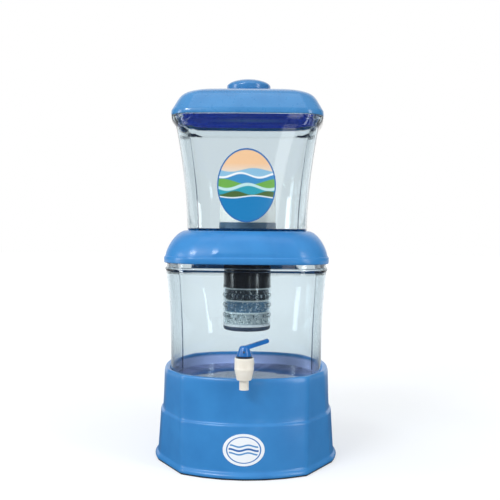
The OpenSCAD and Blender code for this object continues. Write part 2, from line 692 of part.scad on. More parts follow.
module outlet_cup() {
    holes = 8;
    cup_top = jar_z - screen_h;
    color("darkslategray") difference() {
        rotate_extrude($fn = round_fn) polygon([
            [0, cart_z], [cart_r - 4, cart_z], [cart_r - 1.2, cart_z + 1.2], [cart_r, cart_z + 4],
            [cart_r, cup_top], [cart_r - cart_wall, cup_top],
            [cart_r - cart_wall, cart_z + 3], [0, cart_z + 3]]);
        for (i = [0 : holes - 1]) rotate(360 * i / holes)
            translate([cart_r * 0.55, 0, cart_z - eps]) cylinder(r = 2.5, h = 3 + 2 * eps, $fn = 32);
    }
}

// ---- Lid ----
lid_taper = 0.19;            // how much the lid narrows towards its top, before its rounding
// Outline of the lid at share t of its height above the tank's rim
function lid_at(t) = scaled(lid_o, (1 - lid_taper * t) * pow(1 - pow(t, 7.3), 0.54));

lid_steps = [0.12, 0.27, 0.42, 0.56, 0.68, 0.78, 0.86, 0.92, 0.965, 0.99];
lid_flat_z = upper_top + lid_h * 0.99;    // flat top of the lid, under the knob
ceiling = 5;                              // drop of the lid's ceiling below its top
step_h = 12;                              // height of the step round the inside of the lid
step_z = upper_top + step_h;

module top_lid() {
    skirt_in = grown(lid_o, -cover_wall);
    ledge_in = grown(skirt_in, -10);
    color("cornflowerblue") difference() {
        loft(concat(
            [[lid_top - ceiling, scaled(lid_o, 0.58)], [lid_top - 1.7 * ceiling, scaled(lid_o, 0.7)],
                [step_z + 1, grown(ledge_in, -5)], [step_z, grown(ledge_in, -1)], [upper_top, ledge_in],
                [upper_top, skirt_in], [lid_z, skirt_in], [lid_z, lid_o]],
            [for (t = lid_steps) [upper_top + lid_h * t, lid_at(t)]]));
        translate([0, 0, lid_top - 2 * ceiling]) cylinder(r = screw_r + 0.3, h = 3 * ceiling, $fn = 48);
    }
}

screw_r = 3;                              // radius of the knob's screw
screw_l = 16;                             // length of the screw above its head
screw_head_r = 7;
screw_head_h = 2.5;
recess_w = 1.2;                           // width and depth of the cross in its head
module knob_screw() {
    z = lid_top - ceiling;
    color("silver") difference() {
        union() {
            translate([0, 0, z - screw_head_h]) cylinder(r = screw_head_r, h = screw_head_h, $fn = 64);
            translate([0, 0, z - eps]) cylinder(r = screw_r, h = screw_l + eps, $fn = 48);
        }
        for (a = [0, 90]) rotate(a)
            translate([-5, -recess_w / 2, z - screw_head_h - eps]) cube([10, recess_w, recess_w]);
    }
}

module lid_knob() {
    under = lid_flat_z + 0.05;
    shoulder = knob_h * 0.5;              // height at which the knob's side turns into its domed top
    color("cornflowerblue") difference() {
        rotate_extrude($fn = round_fn) polygon(concat(
            [[0, under], [knob_r - 3, under], [knob_r - 1.5, under + 1]],
            crown(knob_r, under + shoulder, knob_h - shoulder)));
        translate([0, 0, under - eps]) cylinder(r = screw_r + snug_gap, h = screw_l - ceiling + 2, $fn = 48);
    }
}

base_shell();
foot_ring();
front_badge();
lower_tank();
tap_body();
tap_bonnet();
tap_outer_washer();
tap_inner_washer();
tap_lock_nut();
tap_swivel_washer();
tap_stem();
tap_seat_cup();
tap_spring();
lever_pin();
tap_lever();
middle_cover();
upper_tank();
front_label();
ceramic_dome();
ceramic_base();
dome_gasket();
outlet_washer();
outlet_nut();
cartridge_housing();
carbon_block();
cartridge_seal();
cartridge_jar();
upper_pad();
mineral_bed();
middle_pad();
zeolite_bed();
lower_pad();
silica_bed();
outlet_screen();
outlet_cup();
top_lid();
knob_screw();
lid_knob();
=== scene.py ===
"""Looks of a gravity water filter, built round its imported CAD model.

Lengths in the classes are millimetres; meshes are written in metres, in the frame of the CAD model:
+Z up, front at -Y, origin on the floor under the middle of the pedestal. The heights where pieces meet
and the sizes of the printed ovals are read from the frame.
"""

import logging
import math
from dataclasses import astuple, dataclass, field
from enum import Enum
from typing import Any, Callable, Iterable, Sequence

import bmesh
import bpy
import numpy as np
from mathutils import Matrix, Vector


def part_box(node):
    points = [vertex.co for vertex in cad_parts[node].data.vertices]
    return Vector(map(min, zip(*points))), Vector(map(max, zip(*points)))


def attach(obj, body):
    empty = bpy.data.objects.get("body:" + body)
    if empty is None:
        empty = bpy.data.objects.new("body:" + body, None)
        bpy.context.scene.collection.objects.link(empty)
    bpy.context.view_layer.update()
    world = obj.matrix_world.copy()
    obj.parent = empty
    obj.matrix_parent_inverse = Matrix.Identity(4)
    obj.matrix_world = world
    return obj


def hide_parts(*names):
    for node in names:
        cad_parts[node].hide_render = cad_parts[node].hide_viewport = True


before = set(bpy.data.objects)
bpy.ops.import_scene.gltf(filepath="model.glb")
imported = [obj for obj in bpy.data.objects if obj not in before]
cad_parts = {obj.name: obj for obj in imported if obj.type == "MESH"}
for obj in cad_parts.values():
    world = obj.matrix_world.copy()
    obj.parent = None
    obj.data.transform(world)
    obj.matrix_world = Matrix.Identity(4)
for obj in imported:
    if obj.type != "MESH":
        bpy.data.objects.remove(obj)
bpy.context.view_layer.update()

MM = 0.001
QUARTER = math.pi / 2
# Dark lines of painted shade run down the tanks' rear corners, where the wall bends round them
ON_SHADE_LINE = 1000.0  # value of the attribute "seam" on the line itself
LOG = logging.getLogger("water_filter")

Tree = bpy.types.NodeTree
Point = tuple[float, float, float]


def solid_box(node: str) -> np.ndarray:
    """Returns the lowest and highest corner of a CAD node in millimetres, to a hundredth."""
    return np.round(np.array([tuple(corner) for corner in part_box(node)]) / MM, 2)


# ---------------------------------------------------------------------------
# Plans, grids and meshes
# ---------------------------------------------------------------------------


@dataclass(frozen=True)
class Panel:
    """One side of a plan: distance of its ends from the middle, half its length, and its bulge."""

    half: float
    side: float
    bulge: float

    def moved(self, by: float, longer: float) -> "Panel":
        """Returns the panel moved outwards by one distance and lengthened by another at each end."""
        return Panel(self.half + by, self.side + longer, self.bulge)


@dataclass(frozen=True)
class Plan:
    """Outline seen from above: two alike panels at front and back, two at the ends, and four corners.

    A panel is a parabola from (-side, -half) over (0, -half - bulge) to (side, -half). A corner is a
    quadratic curve from one panel's end to the next one's start, pulled out by the share corner.
    """

    front: Panel
    end: Panel
    corner: float

    @staticmethod
    def square(half: float, side: float, bulge: float, corner: float = 0.5) -> "Plan":
        """Returns a plan with four alike panels."""
        return Plan(Panel(half, side, bulge), Panel(half, side, bulge), corner)

    def widened(self, by: float, longer: float) -> "Plan":
        """Returns the plan with every panel moved outwards and lengthened."""
        return Plan(self.front.moved(by, longer), self.end.moved(by, longer), self.corner)

    def grown(self, by: float) -> "Plan":
        """Returns the plan moved outwards by a distance, with its diagonals moved as far."""
        return self.widened(by, by * math.tan(math.pi / 8))

    def row(self) -> np.ndarray:
        """Returns the seven sizes as a row."""
        return np.array([*astuple(self.front), *astuple(self.end), self.corner])

    @staticmethod
    def of(row: np.ndarray) -> "Plan":
        """Returns the plan with the seven sizes of a row."""
        return Plan(Panel(*row[:3]), Panel(*row[3:6]), float(row[6]))

    def scaled(self, share: float) -> "Plan":
        """Returns the plan times a share."""
        return Plan.of(np.append(self.row()[:6] * share, self.corner))

    def towards(self, other: "Plan", share: float) -> "Plan":
        """Returns the plan at a share of the way to another one."""
        return Plan.of(self.row() + (other.row() - self.row()) * share)

    def reach(self, along: float) -> float:
        """Returns how far the front stands from the middle, at an offset along it."""
        return self.front.half + self.front.bulge * (1 - (along / self.front.side) ** 2)


Ring = tuple[float, Plan]


def stepped(plan: Plan, z: float, steps: Iterable[tuple[float, float]]) -> list[Ring]:
    """Returns rings of one plan: each step gives the rise from z and how far the plan is moved outwards."""
    return [(z + up, plan.grown(out)) for up, out in steps]


def quarter_turn(plan: Plan, z: float, up: float, out: float, steps: int = 7) -> list[Ring]:
    """Rings of an eased edge, at z + up (1 - cos a) with the plan moved out by out (1 - sin a).

    Args:
        plan: plan that the edge ends on.
        z: height that it starts from.
        up: how far it rises.
        out: how far out it starts.
        steps: number of rings.

    Returns:
        The rings, for a from 0 to a quarter turn.
    """
    turn = np.linspace(0, QUARTER, steps)
    return stepped(plan, z, [(up * (1 - math.cos(a)), out * (1 - math.sin(a))) for a in turn])


def bend(u: np.ndarray, start: Any, pull: Any, end: Any) -> np.ndarray:
    """Quadratic curve from start to end, drawn towards pull: (1-u)^2 start + 2u(1-u) pull + u^2 end."""
    return (1 - u) ** 2 * start + 2 * u * (1 - u) * pull + u * u * end


def smooth(s: Any) -> Any:
    """Eases a share in and out between 0 and 1: s^2 (3 - 2s)."""
    return s * s * (3 - 2 * s)


def loft_grid(rings: Sequence[Ring], side_n: int = 40, corner_n: int = 18) -> np.ndarray:
    """Rings of points round plans at given heights.

    Along a panel x = side * t and y = -half - bulge * (1 - t * t) for t from -1 to 1. Round a corner the
    point bends from the end A of one panel to the start B of the next, drawn towards K, which lies between
    their middle and the corner of the square round them. Each point is then averaged with its two
    neighbours, with weights 1, 2 and 1, which rounds the creases where a panel meets a chamfer.

    Args:
        rings: height and plan of each ring.
        side_n: steps along a panel.
        corner_n: steps round a corner.

    Returns:
        Points of shape (rings, steps, 3), in millimetres.
    """
    table = np.array([(z, *plan.row()) for z, plan in rings], float)[..., None]
    z, pull = table[:, 0], table[:, 7]
    panels = (table[:, 1:4], table[:, 4:7])
    t = np.linspace(-1, 1, side_n, endpoint=False)[None]
    u = np.linspace(0, 1, corner_n, endpoint=False)[None]
    quarters = []
    for k in range(4):
        half, side, bulge = panels[k % 2].transpose(1, 0, 2)
        next_half, next_side, _ = panels[(k + 1) % 2].transpose(1, 0, 2)
        start, end, square = side - 1j * half, next_half - 1j * next_side, next_half - 1j * half
        middle = (start + end) / 2
        panel = side * t - 1j * (half + bulge * (1 - t * t))
        corner = bend(u, start, middle + pull * (square - middle), end)
        quarters.append(np.concatenate([panel, corner], 1) * 1j**k)
    ring = np.concatenate(quarters, 1)
    ring = (np.roll(ring, 1, 1) + 2 * ring + np.roll(ring, -1, 1)) / 4
    return np.stack([ring.real, ring.imag, np.broadcast_to(z, ring.shape)], -1)


def even_angles(steps: int) -> np.ndarray:
    """Returns evenly spaced angles round a circle."""
    return np.linspace(0, 2 * math.pi, steps, endpoint=False)


def turned_rows(profile: Sequence[tuple[float, float]] | np.ndarray, angle: np.ndarray) -> np.ndarray:
    """A profile turned round the Z axis: x = r cos a, y = r sin a, z = height.

    Args:
        profile: radius and height of each circle.
        angle: angles of the points on every circle.

    Returns:
        Points of shape (circles, angles, 3).
    """
    r, z = np.array(profile, float).T[..., None]
    return np.stack([r * np.cos(angle), r * np.sin(angle), z + 0 * angle], -1)


def circles_in(ring: np.ndarray, profile: Sequence[tuple[float, float]]) -> np.ndarray:
    """Returns circles whose points lie at the same angles as those of a ring, so that a plan can close on them."""
    return turned_rows(profile, np.arctan2(ring[:, 1], ring[:, 0]))


def eased_profile(points: Sequence[tuple[float, float]], radius: Sequence[float], steps: int = 5) -> np.ndarray:
    """A profile whose inner corners are eased by a quadratic curve that starts a radius before each corner.

    Args:
        points: corners of the profile as (radius, height).
        radius: easing of each inner corner.
        steps: points in each eased corner.

    Returns:
        Points of shape (n, 2).
    """
    p = np.array(points, float)
    u = np.linspace(0, 1, steps)[:, None]
    out = [p[:1]]
    for before, corner, after, ease in zip(p[:-2], p[1:-1], p[2:], radius):
        a, b = before - corner, after - corner
        la, lb = np.linalg.norm(a), np.linalg.norm(b)
        e = min(ease, 0.49 * la, 0.49 * lb)
        out.append(bend(u, corner + a / la * e, corner, corner + b / lb * e))
    out.append(p[-1:])
    return np.concatenate(out)


def quarter_arc(r: float, z: float, height: float, steps: int = 18) -> np.ndarray:
    """Returns a quarter ellipse from (r, z) at the side to (0, z + height) on the axis."""
    a = np.linspace(0, QUARTER, steps)
    return np.stack([r * np.cos(a), z + height * np.sin(a)], -1)


def inside_marks(rows: np.ndarray, part: slice) -> np.ndarray:
    """Marks a part of the rows.

    Args:
        rows: the rows.
        part: the rows that are marked.

    Returns:
        1 on the points of the part and 0 elsewhere.
    """
    marks = np.zeros(rows.shape[:2])
    marks[part] = 1
    return marks


@dataclass
class Shape:
    """A closed surface collected from grids of points, in millimetres."""

    points: list[np.ndarray] = field(default_factory=list)
    faces: list[np.ndarray] = field(default_factory=list)
    count: int = 0

    def keep(self, points: np.ndarray) -> int:
        """Stores points.

        Args:
            points: points, in millimetres.

        Returns:
            The index of the first one.
        """
        self.points.append(points.reshape(-1, 3))
        self.count += len(self.points[-1])
        return self.count - len(self.points[-1])

    def grid(
        self, rows: np.ndarray, loop: bool = False, first: Point | None = None, last: Point | None = None
    ) -> "Shape":
        """Adds a grid whose rows close round; point (i, j) joins (i, j+1), (i+1, j+1) and (i+1, j).

        Args:
            rows: points of shape (rows, steps, 3).
            loop: joins the last row to the first.
            first: pole that closes the first row.
            last: pole that closes the last row.

        Returns:
            The shape itself.
        """
        n, m = rows.shape[:2]
        start = self.keep(rows)
        i = np.arange(n if loop else n - 1)[:, None]
        j = np.arange(m)[None]
        low, high, right = i * m, ((i + 1) % n) * m, (j + 1) % m
        quads = np.stack([low + j, low + right, high + right, high + j], -1).reshape(-1, 4) + start
        self.faces.append(quads)
        for pole, row, order in ((first, 0, 1), (last, n - 1, -1)):
            if pole is not None:
                tip = self.keep(np.array(pole, float))
                ring = start + row * m + np.arange(m)
                self.faces.append(np.stack([np.full(m, tip), np.roll(ring, -1), ring][::order], -1))
        return self

    def signed_volume(self) -> float:
        """Adds up the triple products of the corners of all faces.

        Returns:
            Six times the volume, negative where the faces look inwards.
        """
        p = np.concatenate(self.points)
        total = 0.0
        for f in self.faces:
            for k in range(1, f.shape[1] - 1):
                a, b, c = p[f[:, 0]], p[f[:, k]], p[f[:, k + 1]]
                total += float(np.einsum("ij,ij->", a, np.cross(b, c)))
        return total

    def mesh(
        self, name: str, sharp_deg: float = 32.0, marks: dict[str, np.ndarray] | None = None
    ) -> bpy.types.Mesh:
        """Writes the surface into a Blender mesh in metres, faces outwards, smooth but for its creases.

        Args:
            name: name of the mesh.
            sharp_deg: angle between faces above which an edge stays sharp.
            marks: float attributes by name, with values for the first points; the others get 0.

        Returns:
            The mesh.
        """
        flip = self.signed_volume() < 0
        corners = np.concatenate([(f[:, ::-1] if flip else f).ravel() for f in self.faces])
        totals = np.concatenate([np.full(len(f), f.shape[1]) for f in self.faces])
        data = bpy.data.meshes.new(name)
        data.vertices.add(self.count)
        data.vertices.foreach_set("co", (np.concatenate(self.points) * MM).astype(np.float32).ravel())
        data.loops.add(len(corners))
        data.loops.foreach_set("vertex_index", corners.astype(np.int32))
        data.polygons.add(len(totals))
        data.polygons.foreach_set("loop_start", np.concatenate([[0], np.cumsum(totals)[:-1]]).astype(np.int32))
        data.update(calc_edges=True)
        data.validate()
        data.polygons.foreach_set("use_smooth", np.ones(len(data.polygons), bool))
        data.set_sharp_from_angle(angle=math.radians(sharp_deg))
        for key, values in (marks or {}).items():
            whole = np.zeros(self.count, np.float32)
            whole[: values.size] = values.ravel()
            data.attributes.new(key, "FLOAT", "POINT").data.foreach_set("value", whole)
        return data


def turned_shape(profile: np.ndarray, steps: int = 128) -> Shape:
    """A turned solid. A profile that starts or ends on the axis is closed by a pole, any other by a loop.

    Args:
        profile: points as (radius, height).
        steps: points on each circle.

    Returns:
        The closed shape.
    """
    on_axis = profile[:, 0] < 1e-6
    first, last = ((0, 0, profile[k, 1]) if on_axis[k] else None for k in (0, -1))
    return Shape().grid(turned_rows(profile[~on_axis], even_angles(steps)), first is None, first, last)


@dataclass(frozen=True)
class Oval:
    """Oval film on a front wall: height of its middle, half sizes, glue line, thickness and eased edge."""

    z: float
    half_w: float
    half_h: float
    gap: float = 0.08
    thick: float = 0.4
    edge: float = 0.12

    @staticmethod
    def of(node: str) -> "Oval":
        """Returns the oval that a CAD film fills."""
        low, high = solid_box(node)
        return Oval((low[2] + high[2]) / 2, high[0], (high[2] - low[2]) / 2)

    def film(self, reach: Callable[[float, float], float]) -> Shape:
        """A thin oval film that follows a curved front wall.

        Its points lie at x = half_w * r cos a and z = middle + half_h * r sin a. -y is the wall's distance
        plus the gap for the back, and plus the thickness for the front, less a rounding at the edge.

        Args:
            reach: distance of the wall from the middle at given x and z.

        Returns:
            The closed shape.
        """
        a = even_angles(96)[None]
        r = np.concatenate([np.linspace(0.06, 0.98, 14), [0.994, 1.0]])[:, None]
        x, z = self.half_w * r * np.cos(a), self.z + self.half_h * r * np.sin(a)
        wall = np.vectorize(reach)(x, z)
        front = np.stack([x, -(wall + self.gap + self.thick - self.edge * (r > 0.999)), z], -1)
        back = np.stack([x, -(wall + self.gap), z], -1)[::-1]
        middle = reach(0.0, self.z) + self.gap
        poles = [(0, -(middle + thick), self.z) for thick in (self.thick, 0)]
        return Shape().grid(np.concatenate([front, back]), False, *poles)


# ---------------------------------------------------------------------------
# Finishes
# ---------------------------------------------------------------------------


def linear(code: str) -> tuple[float, float, float, float]:
    """Turns an sRGB hex colour such as '2E86CC' into Blender's linear colour.

    Args:
        code: six hex digits.

    Returns:
        Red, green, blue and alpha.
    """
    s = np.array([int(code[i : i + 2], 16) for i in (0, 2, 4)]) / 255
    low, high = s / 12.92, ((s + 0.055) / 1.055) ** 2.4
    return (*np.where(s <= 0.04045, low, high).tolist(), 1.0)


def lumps(size_mm: float) -> float:
    """Returns the scale at which a texture's lumps are about size_mm across."""
    return 1 / (size_mm * MM)


def add_node(
    tree: Tree,
    kind: str,
    inputs: dict[str | int, Any] | None = None,
    stops: Sequence[tuple[float, str]] = (),
    stepped_colours: bool = False,
    **settings: Any,
) -> Any:
    """Adds a node, with its settings, its values and the links into it.

    Args:
        tree: node tree that gets the node.
        kind: Blender's name for the node, after "ShaderNode".
        inputs: socket name or index, with a value, a hex colour, or the output that is linked to it.
        stops: place and hex colour of each stop of a colour ramp.
        stepped_colours: whether the ramp keeps each colour up to the next stop.
        settings: properties of the node itself.

    Returns:
        The node's outputs.
    """
    made = tree.nodes.new("ShaderNode" + kind)
    for key, value in settings.items():
        setattr(made, key, value)
    for key, value in (inputs or {}).items():
        if isinstance(value, bpy.types.NodeSocket):
            tree.links.new(value, made.inputs[key])
        else:
            made.inputs[key].default_value = linear(value) if isinstance(value, str) else value
    if stops:
        made.color_ramp.interpolation = "CONSTANT" if stepped_colours else "LINEAR"
        elements = made.color_ramp.elements
        while len(elements) < len(stops):
            elements.new(0.5)
        for element, (position, colour) in zip(elements, stops):
            element.position, element.color = position, linear(colour)
    return made.outputs


Relief = tuple[Any, float, float]


def relief_shader(tree: Tree, relief: Relief, rough: Relief | float, sockets: dict[str, Any]) -> Any:
    """Adds a Principled shader whose surface has a fine relief and a roughness.

    Args:
        tree: node tree of the material.
        relief: output that gives the relief's height, its strength, and its depth in millimetres.
        rough: the roughness, or an output from 0 to 1 with the least and the greatest roughness.
        sockets: values and links of the shader's other sockets.

    Returns:
        The shader's output.
    """
    height, strength, depth_mm = relief
    bump = add_node(tree, "Bump", {"Height": height, "Strength": strength, "Distance": depth_mm * MM})
    if isinstance(rough, tuple):
        span = dict(zip(("Value", "To Min", "To Max"), rough))
        rough = add_node(tree, "MapRange", span)["Result"]
    return add_node(tree, "BsdfPrincipled", {"Normal": bump["Normal"], "Roughness": rough, **sockets})[0]


@dataclass(frozen=True)
class Recipe:
    """How a finish is made. Each kind of finish says what its surface is."""

    name: str

    def surface(self, tree: Tree, place: Any) -> Any:
        """Returns the shader of the surface; place gives the piece's object coordinates."""
        raise NotImplementedError

    def volume(self, tree: Tree) -> Any:
        """Returns the shader of the inside, or None where no light enters."""
        return None

    def make(self) -> bpy.types.Material:
        """Makes the finish.

        Returns:
            The material.
        """
        material = bpy.data.materials.new(self.name)
        material.use_nodes = True
        tree = material.node_tree
        tree.nodes.clear()
        place = add_node(tree, "TexCoord")["Object"]
        shaders = {"Surface": self.surface(tree, place), "Volume": self.volume(tree)}
        add_node(tree, "OutputMaterial", {key: shader for key, shader in shaders.items() if shader is not None})
        return material


@dataclass(frozen=True)
class MouldedPlastic(Recipe):
    """Injection-moulded polypropylene or acetal: even colour, faint flow marks, fine tool texture."""

    colour: str
    shade: str
    roughness: float
    grain_mm: float = 0.9
    grain_depth: float = 0.006
    coat: float = 0.15
    flow_mm: float = 46.0
    # colour that the rows marked inside are painted: painted light in the pedestal's seat, painted shade inside
    # the lid
    inner: str = ""

    def surface(self, tree: Tree, place: Any) -> Any:
        """Makes a colour that drifts slowly to the shade, under a soft orange peel.

        Where an inner colour is given, the mesh attribute "inside" blends it in: painted light in the pedestal's
        seat, painted shade inside the lid.

        Args:
            tree: node tree of the material.
            place: object coordinates.

        Returns:
            The shader.
        """
        flow = add_node(tree, "TexNoise", {"Vector": place, "Scale": lumps(self.flow_mm), "Detail": 3.0})["Fac"]
        colour = add_node(tree, "ValToRGB", {0: flow}, [(0.3, self.shade), (0.62, self.colour)])["Color"]
        # the inner colour paints light into the pedestal's seat and shade into the lid
        if self.inner:
            light_and_shade_mask = add_node(tree, "Attribute", attribute_name="inside")["Fac"]
            colour = add_node(tree, "Mix", {0: light_and_shade_mask, 6: colour, 7: self.inner}, data_type="RGBA")[2]
        fine = {"Vector": place, "Scale": lumps(self.grain_mm), "Detail": 3.0, "Roughness": 0.6}
        wide = {"Vector": place, "Scale": lumps(self.grain_mm * 9), "Detail": 4.0}
        rough = (add_node(tree, "TexNoise", wide)["Fac"], self.roughness * 0.86, self.roughness * 1.16)
        relief = (add_node(tree, "TexNoise", fine)["Fac"], 0.35, self.grain_depth)
        sockets = {"Base Color": colour, "IOR": 1.49, "Coat Weight": self.coat, "Coat Roughness": 0.08}
        return relief_shader(tree, relief, rough, sockets)


@dataclass(frozen=True)
class ClearStyrene(Recipe):
    """Clear styrene acrylonitrile, moulded: water-white through a wall, blue along its length."""

    tint: str = "F0F6F8"
    depth: str = "6FB4CC"
    absorb: float = 20.0
    ior: float = 1.5
    cast: str = "FAFCFD"
    # colour and width of the painted shade line down the tanks' rear corners
    shade_line: str = "434D63"
    shade_line_mm: float = 2.8

    def surface(self, tree: Tree, place: Any) -> Any:
        """Makes the clear plastic. Rays from lamps pass straight through, so what it holds stays lit.

        The mesh's line attribute is 1000 plus the distance in millimetres from a line of painted shade down a rear
        corner, or 0 where there is none. The plastic is painted darker along that line, as shade where the wall
        bends round the corner.

        Args:
            tree: node tree of the material.
            place: object coordinates.

        Returns:
            The shader.
        """
        wave = add_node(tree, "TexNoise", {"Vector": place, "Scale": lumps(38.0), "Detail": 1.5})["Fac"]
        haze = add_node(tree, "TexNoise", {"Vector": place, "Scale": lumps(22.0), "Detail": 4.0})["Fac"]
        # painted shade: the plastic darkens near the line down each rear corner
        shade_line = add_node(tree, "Attribute", attribute_name="shade_line")["Fac"]
        away = add_node(tree, "Math", {0: shade_line, 1: ON_SHADE_LINE}, operation="SUBTRACT")[0]
        away = add_node(tree, "Math", {0: away}, operation="ABSOLUTE")[0]
        near = add_node(
            tree, "MapRange", {"Value": away, "From Min": self.shade_line_mm, "From Max": 0.4 * self.shade_line_mm},
            interpolation_type="SMOOTHSTEP",
        )["Result"]
        tint = add_node(tree, "Mix", {0: near, 6: self.tint, 7: self.shade_line}, data_type="RGBA")[2]
        sockets = {"Base Color": tint, "IOR": self.ior, "Transmission Weight": 1.0}
        glass = relief_shader(tree, (wave, 0.12, 0.6), (haze, 0.012, 0.04), sockets)
        clear = add_node(tree, "BsdfTransparent", {"Color": self.cast})[0]
        shadow = add_node(tree, "LightPath")["Is Shadow Ray"]
        return add_node(tree, "MixShader", {0: shadow, 1: glass, 2: clear})[0]

    def volume(self, tree: Tree) -> Any:
        """Returns the plastic's own colour, which deepens with the length of the way through it."""
        return add_node(tree, "VolumeAbsorption", {"Color": self.depth, "Density": self.absorb})[0]


@dataclass(frozen=True)
class MouldedRubber(Recipe):
    """Moulded rubber or silicone: matt, faintly dusty, with a fine skin."""

    colour: str
    bloom: str
    roughness: float = 0.62

    def surface(self, tree: Tree, place: Any) -> Any:
        """Makes rubber with a bloom in patches and a fine pitted skin.

        Args:
            tree: node tree of the material.
            place: object coordinates.

        Returns:
            The shader.
        """
        patches = add_node(tree, "TexNoise", {"Vector": place, "Scale": lumps(9.0), "Detail": 5.0})["Fac"]
        colour = add_node(tree, "ValToRGB", {0: patches}, [(0.35, self.colour), (0.8, self.bloom)])["Color"]
        pitted = {"Vector": place, "Scale": lumps(0.7), "Detail": 3.0, "Roughness": 0.7}
        skin = add_node(tree, "TexNoise", pitted)["Fac"]
        rough = (skin, self.roughness - 0.08, self.roughness + 0.1)
        return relief_shader(tree, (skin, 0.5, 0.03), rough, {"Base Color": colour, "IOR": 1.52})


@dataclass(frozen=True)
class PorousSolid(Recipe):
    """Fired or pressed grains, such as a ceramic candle, a fibre pad or a carbon block: matt and pitted."""

    colour: str
    # colour of the pits, painted darker as shade in the pores
    pit_shade: str
    pore_mm: float
    depth_mm: float
    roughness: float = 0.9
    stretch: float = 1.0

    def surface(self, tree: Tree, place: Any) -> Any:
        """Makes the solid: Voronoi pores a pore size apart, painted darker in the pits as shade, over a slow
        change of colour.

        Args:
            tree: node tree of the material.
            place: object coordinates.

        Returns:
            The shader.
        """
        laid = add_node(tree, "Mapping", {"Vector": place, "Scale": (1.0, 1.0, self.stretch)})[0]
        pores = add_node(tree, "TexVoronoi", {"Vector": laid, "Scale": lumps(self.pore_mm)})["Distance"]
        wide = {"Vector": place, "Scale": lumps(self.pore_mm * 14), "Detail": 5.0}
        cloud = add_node(tree, "TexNoise", wide)["Fac"]
        mixed = add_node(tree, "Math", {0: pores, 1: cloud}, operation="MULTIPLY")[0]
        # painted shade: the pits turn to the darker colour
        colour = add_node(tree, "ValToRGB", {0: mixed}, [(0.02, self.pit_shade), (0.2, self.colour)])["Color"]
        relief = (pores, 0.7, self.depth_mm)
        return relief_shader(tree, relief, self.roughness, {"Base Color": colour, "IOR": 1.5})


@dataclass(frozen=True)
class WashedGrit(Recipe):
    """Washed mineral grains: every grain has its own tone, kept in the mesh, and a rough broken face."""

    tones: tuple[str, ...]
    roughness: float = 0.55

    def surface(self, tree: Tree, place: Any) -> Any:
        """Makes the grit. The mesh attribute "tone" of a grain picks one of the colours.

        Args:
            tree: node tree of the material.
            place: object coordinates.

        Returns:
            The shader.
        """
        tone = add_node(tree, "Attribute", attribute_name="tone")["Fac"]
        stops = [(k / len(self.tones), code) for k, code in enumerate(self.tones)]
        colour = add_node(tree, "ValToRGB", {0: tone}, stops, True)["Color"]
        face = add_node(tree, "TexNoise", {"Vector": place, "Scale": lumps(0.8), "Detail": 3.0})["Fac"]
        rough = (face, self.roughness - 0.2, self.roughness + 0.2)
        return relief_shader(tree, (face, 0.5, 0.1), rough, {"Base Color": colour, "IOR": 1.54})


@dataclass(frozen=True)
class DrawnSteel(Recipe):
    """Stainless steel, drawn or turned: bright, with fine lines round its length."""

    colour: str = "C4C7CA"
    shade: str = "AEB2B6"

    def surface(self, tree: Tree, place: Any) -> Any:
        """Makes the steel, with drawing lines 0.3 mm apart that vary its gloss.

        Args:
            tree: node tree of the material.
            place: object coordinates.

        Returns:
            The shader.
        """
        laid = add_node(tree, "Mapping", {"Vector": place, "Scale": (1.0, 1.0, 0.12)})[0]
        drawn = {"Vector": laid, "Scale": lumps(0.3), "Detail": 3.0, "Roughness": 0.7}
        lines = add_node(tree, "TexNoise", drawn)["Fac"]
        cloud = add_node(tree, "TexNoise", {"Vector": place, "Scale": lumps(6.0), "Detail": 3.0})["Fac"]
        colour = add_node(tree, "ValToRGB", {0: cloud}, [(0.3, self.shade), (0.7, self.colour)])["Color"]
        sockets = {"Base Color": colour, "Metallic": 1.0}
        return relief_shader(tree, (lines, 0.3, 0.01), (lines, 0.22, 0.4), sockets)


@dataclass(frozen=True)
class Band:
    """One band of a print: it fills what lies below level + swing * sin(turns * u + phase)."""

    level: float
    colour: str
    swing: float = 0.06
    turns: float = 7.0
    phase: float = 0.0
    soft: float = 0.012

    def mask(self, tree: Tree, u: Any, v: Any) -> Any:
        """Adds the band's mask.

        Args:
            tree: node tree of the film.
            u: place across the oval, from -1 to 1.
            v: place up the oval, from -1 to 1.

        Returns:
            An output that is 1 in the band and 0 above it, with a soft edge.
        """
        angle = add_node(tree, "Math", {0: u, 1: self.turns, 2: self.phase}, operation="MULTIPLY_ADD")[0]
        wave = add_node(tree, "Math", {0: angle}, operation="SINE")[0]
        curve = add_node(tree, "Math", {0: wave, 1: self.swing, 2: self.level}, operation="MULTIPLY_ADD")[0]
        under = add_node(tree, "Math", {0: curve, 1: v}, operation="SUBTRACT")[0]
        edge = {"Value": under, "From Min": -self.soft, "From Max": self.soft}
        return add_node(tree, "MapRange", edge)["Result"]


class Print(Enum):
    """Which generic print a film carries."""

    WAVES = "waves"
    RINGS = "rings"


WHITE_INK = "F2F6FA"
BANDS = {
    # A warm sky over crossing bands of water in greens and blues, with a plain blue foot
    Print.WAVES: (
        Band(0.42, "8CBFDD", 0.05, 4.0, 0.6), Band(0.30, "F1F6F8", 0.06, 5.0, 2.6),
        Band(0.25, "3D8FC6", 0.06, 5.0, 2.5), Band(0.10, "6FAE4E", 0.08, 3.4, 4.4),
        Band(0.00, "BFE3E4", 0.07, 4.4, 1.4), Band(-0.08, "2FA0B4", 0.07, 4.4, 1.3),
        Band(-0.20, "4C6B3A", 0.05, 5.6, 3.7), Band(-0.29, "EAF4F8", 0.03, 4.0, 0.4),
        Band(-0.32, "147DB9", 0.03, 4.0, 0.4),
    ),
    # Three level waves on white
    Print.RINGS: (
        Band(0.30, "4F93CE"), Band(0.20, WHITE_INK), Band(0.06, "1F66B0"), Band(-0.06, WHITE_INK),
        Band(-0.18, "4F93CE"), Band(-0.28, WHITE_INK),
    ),
}
# Each ring fills what lies further out than its share of the oval
RINGS = {
    Print.WAVES: ((0.955, "2C6FB0"),),
    Print.RINGS: ((0.72, WHITE_INK), (0.78, "2E78BE"), (0.84, WHITE_INK)),
}


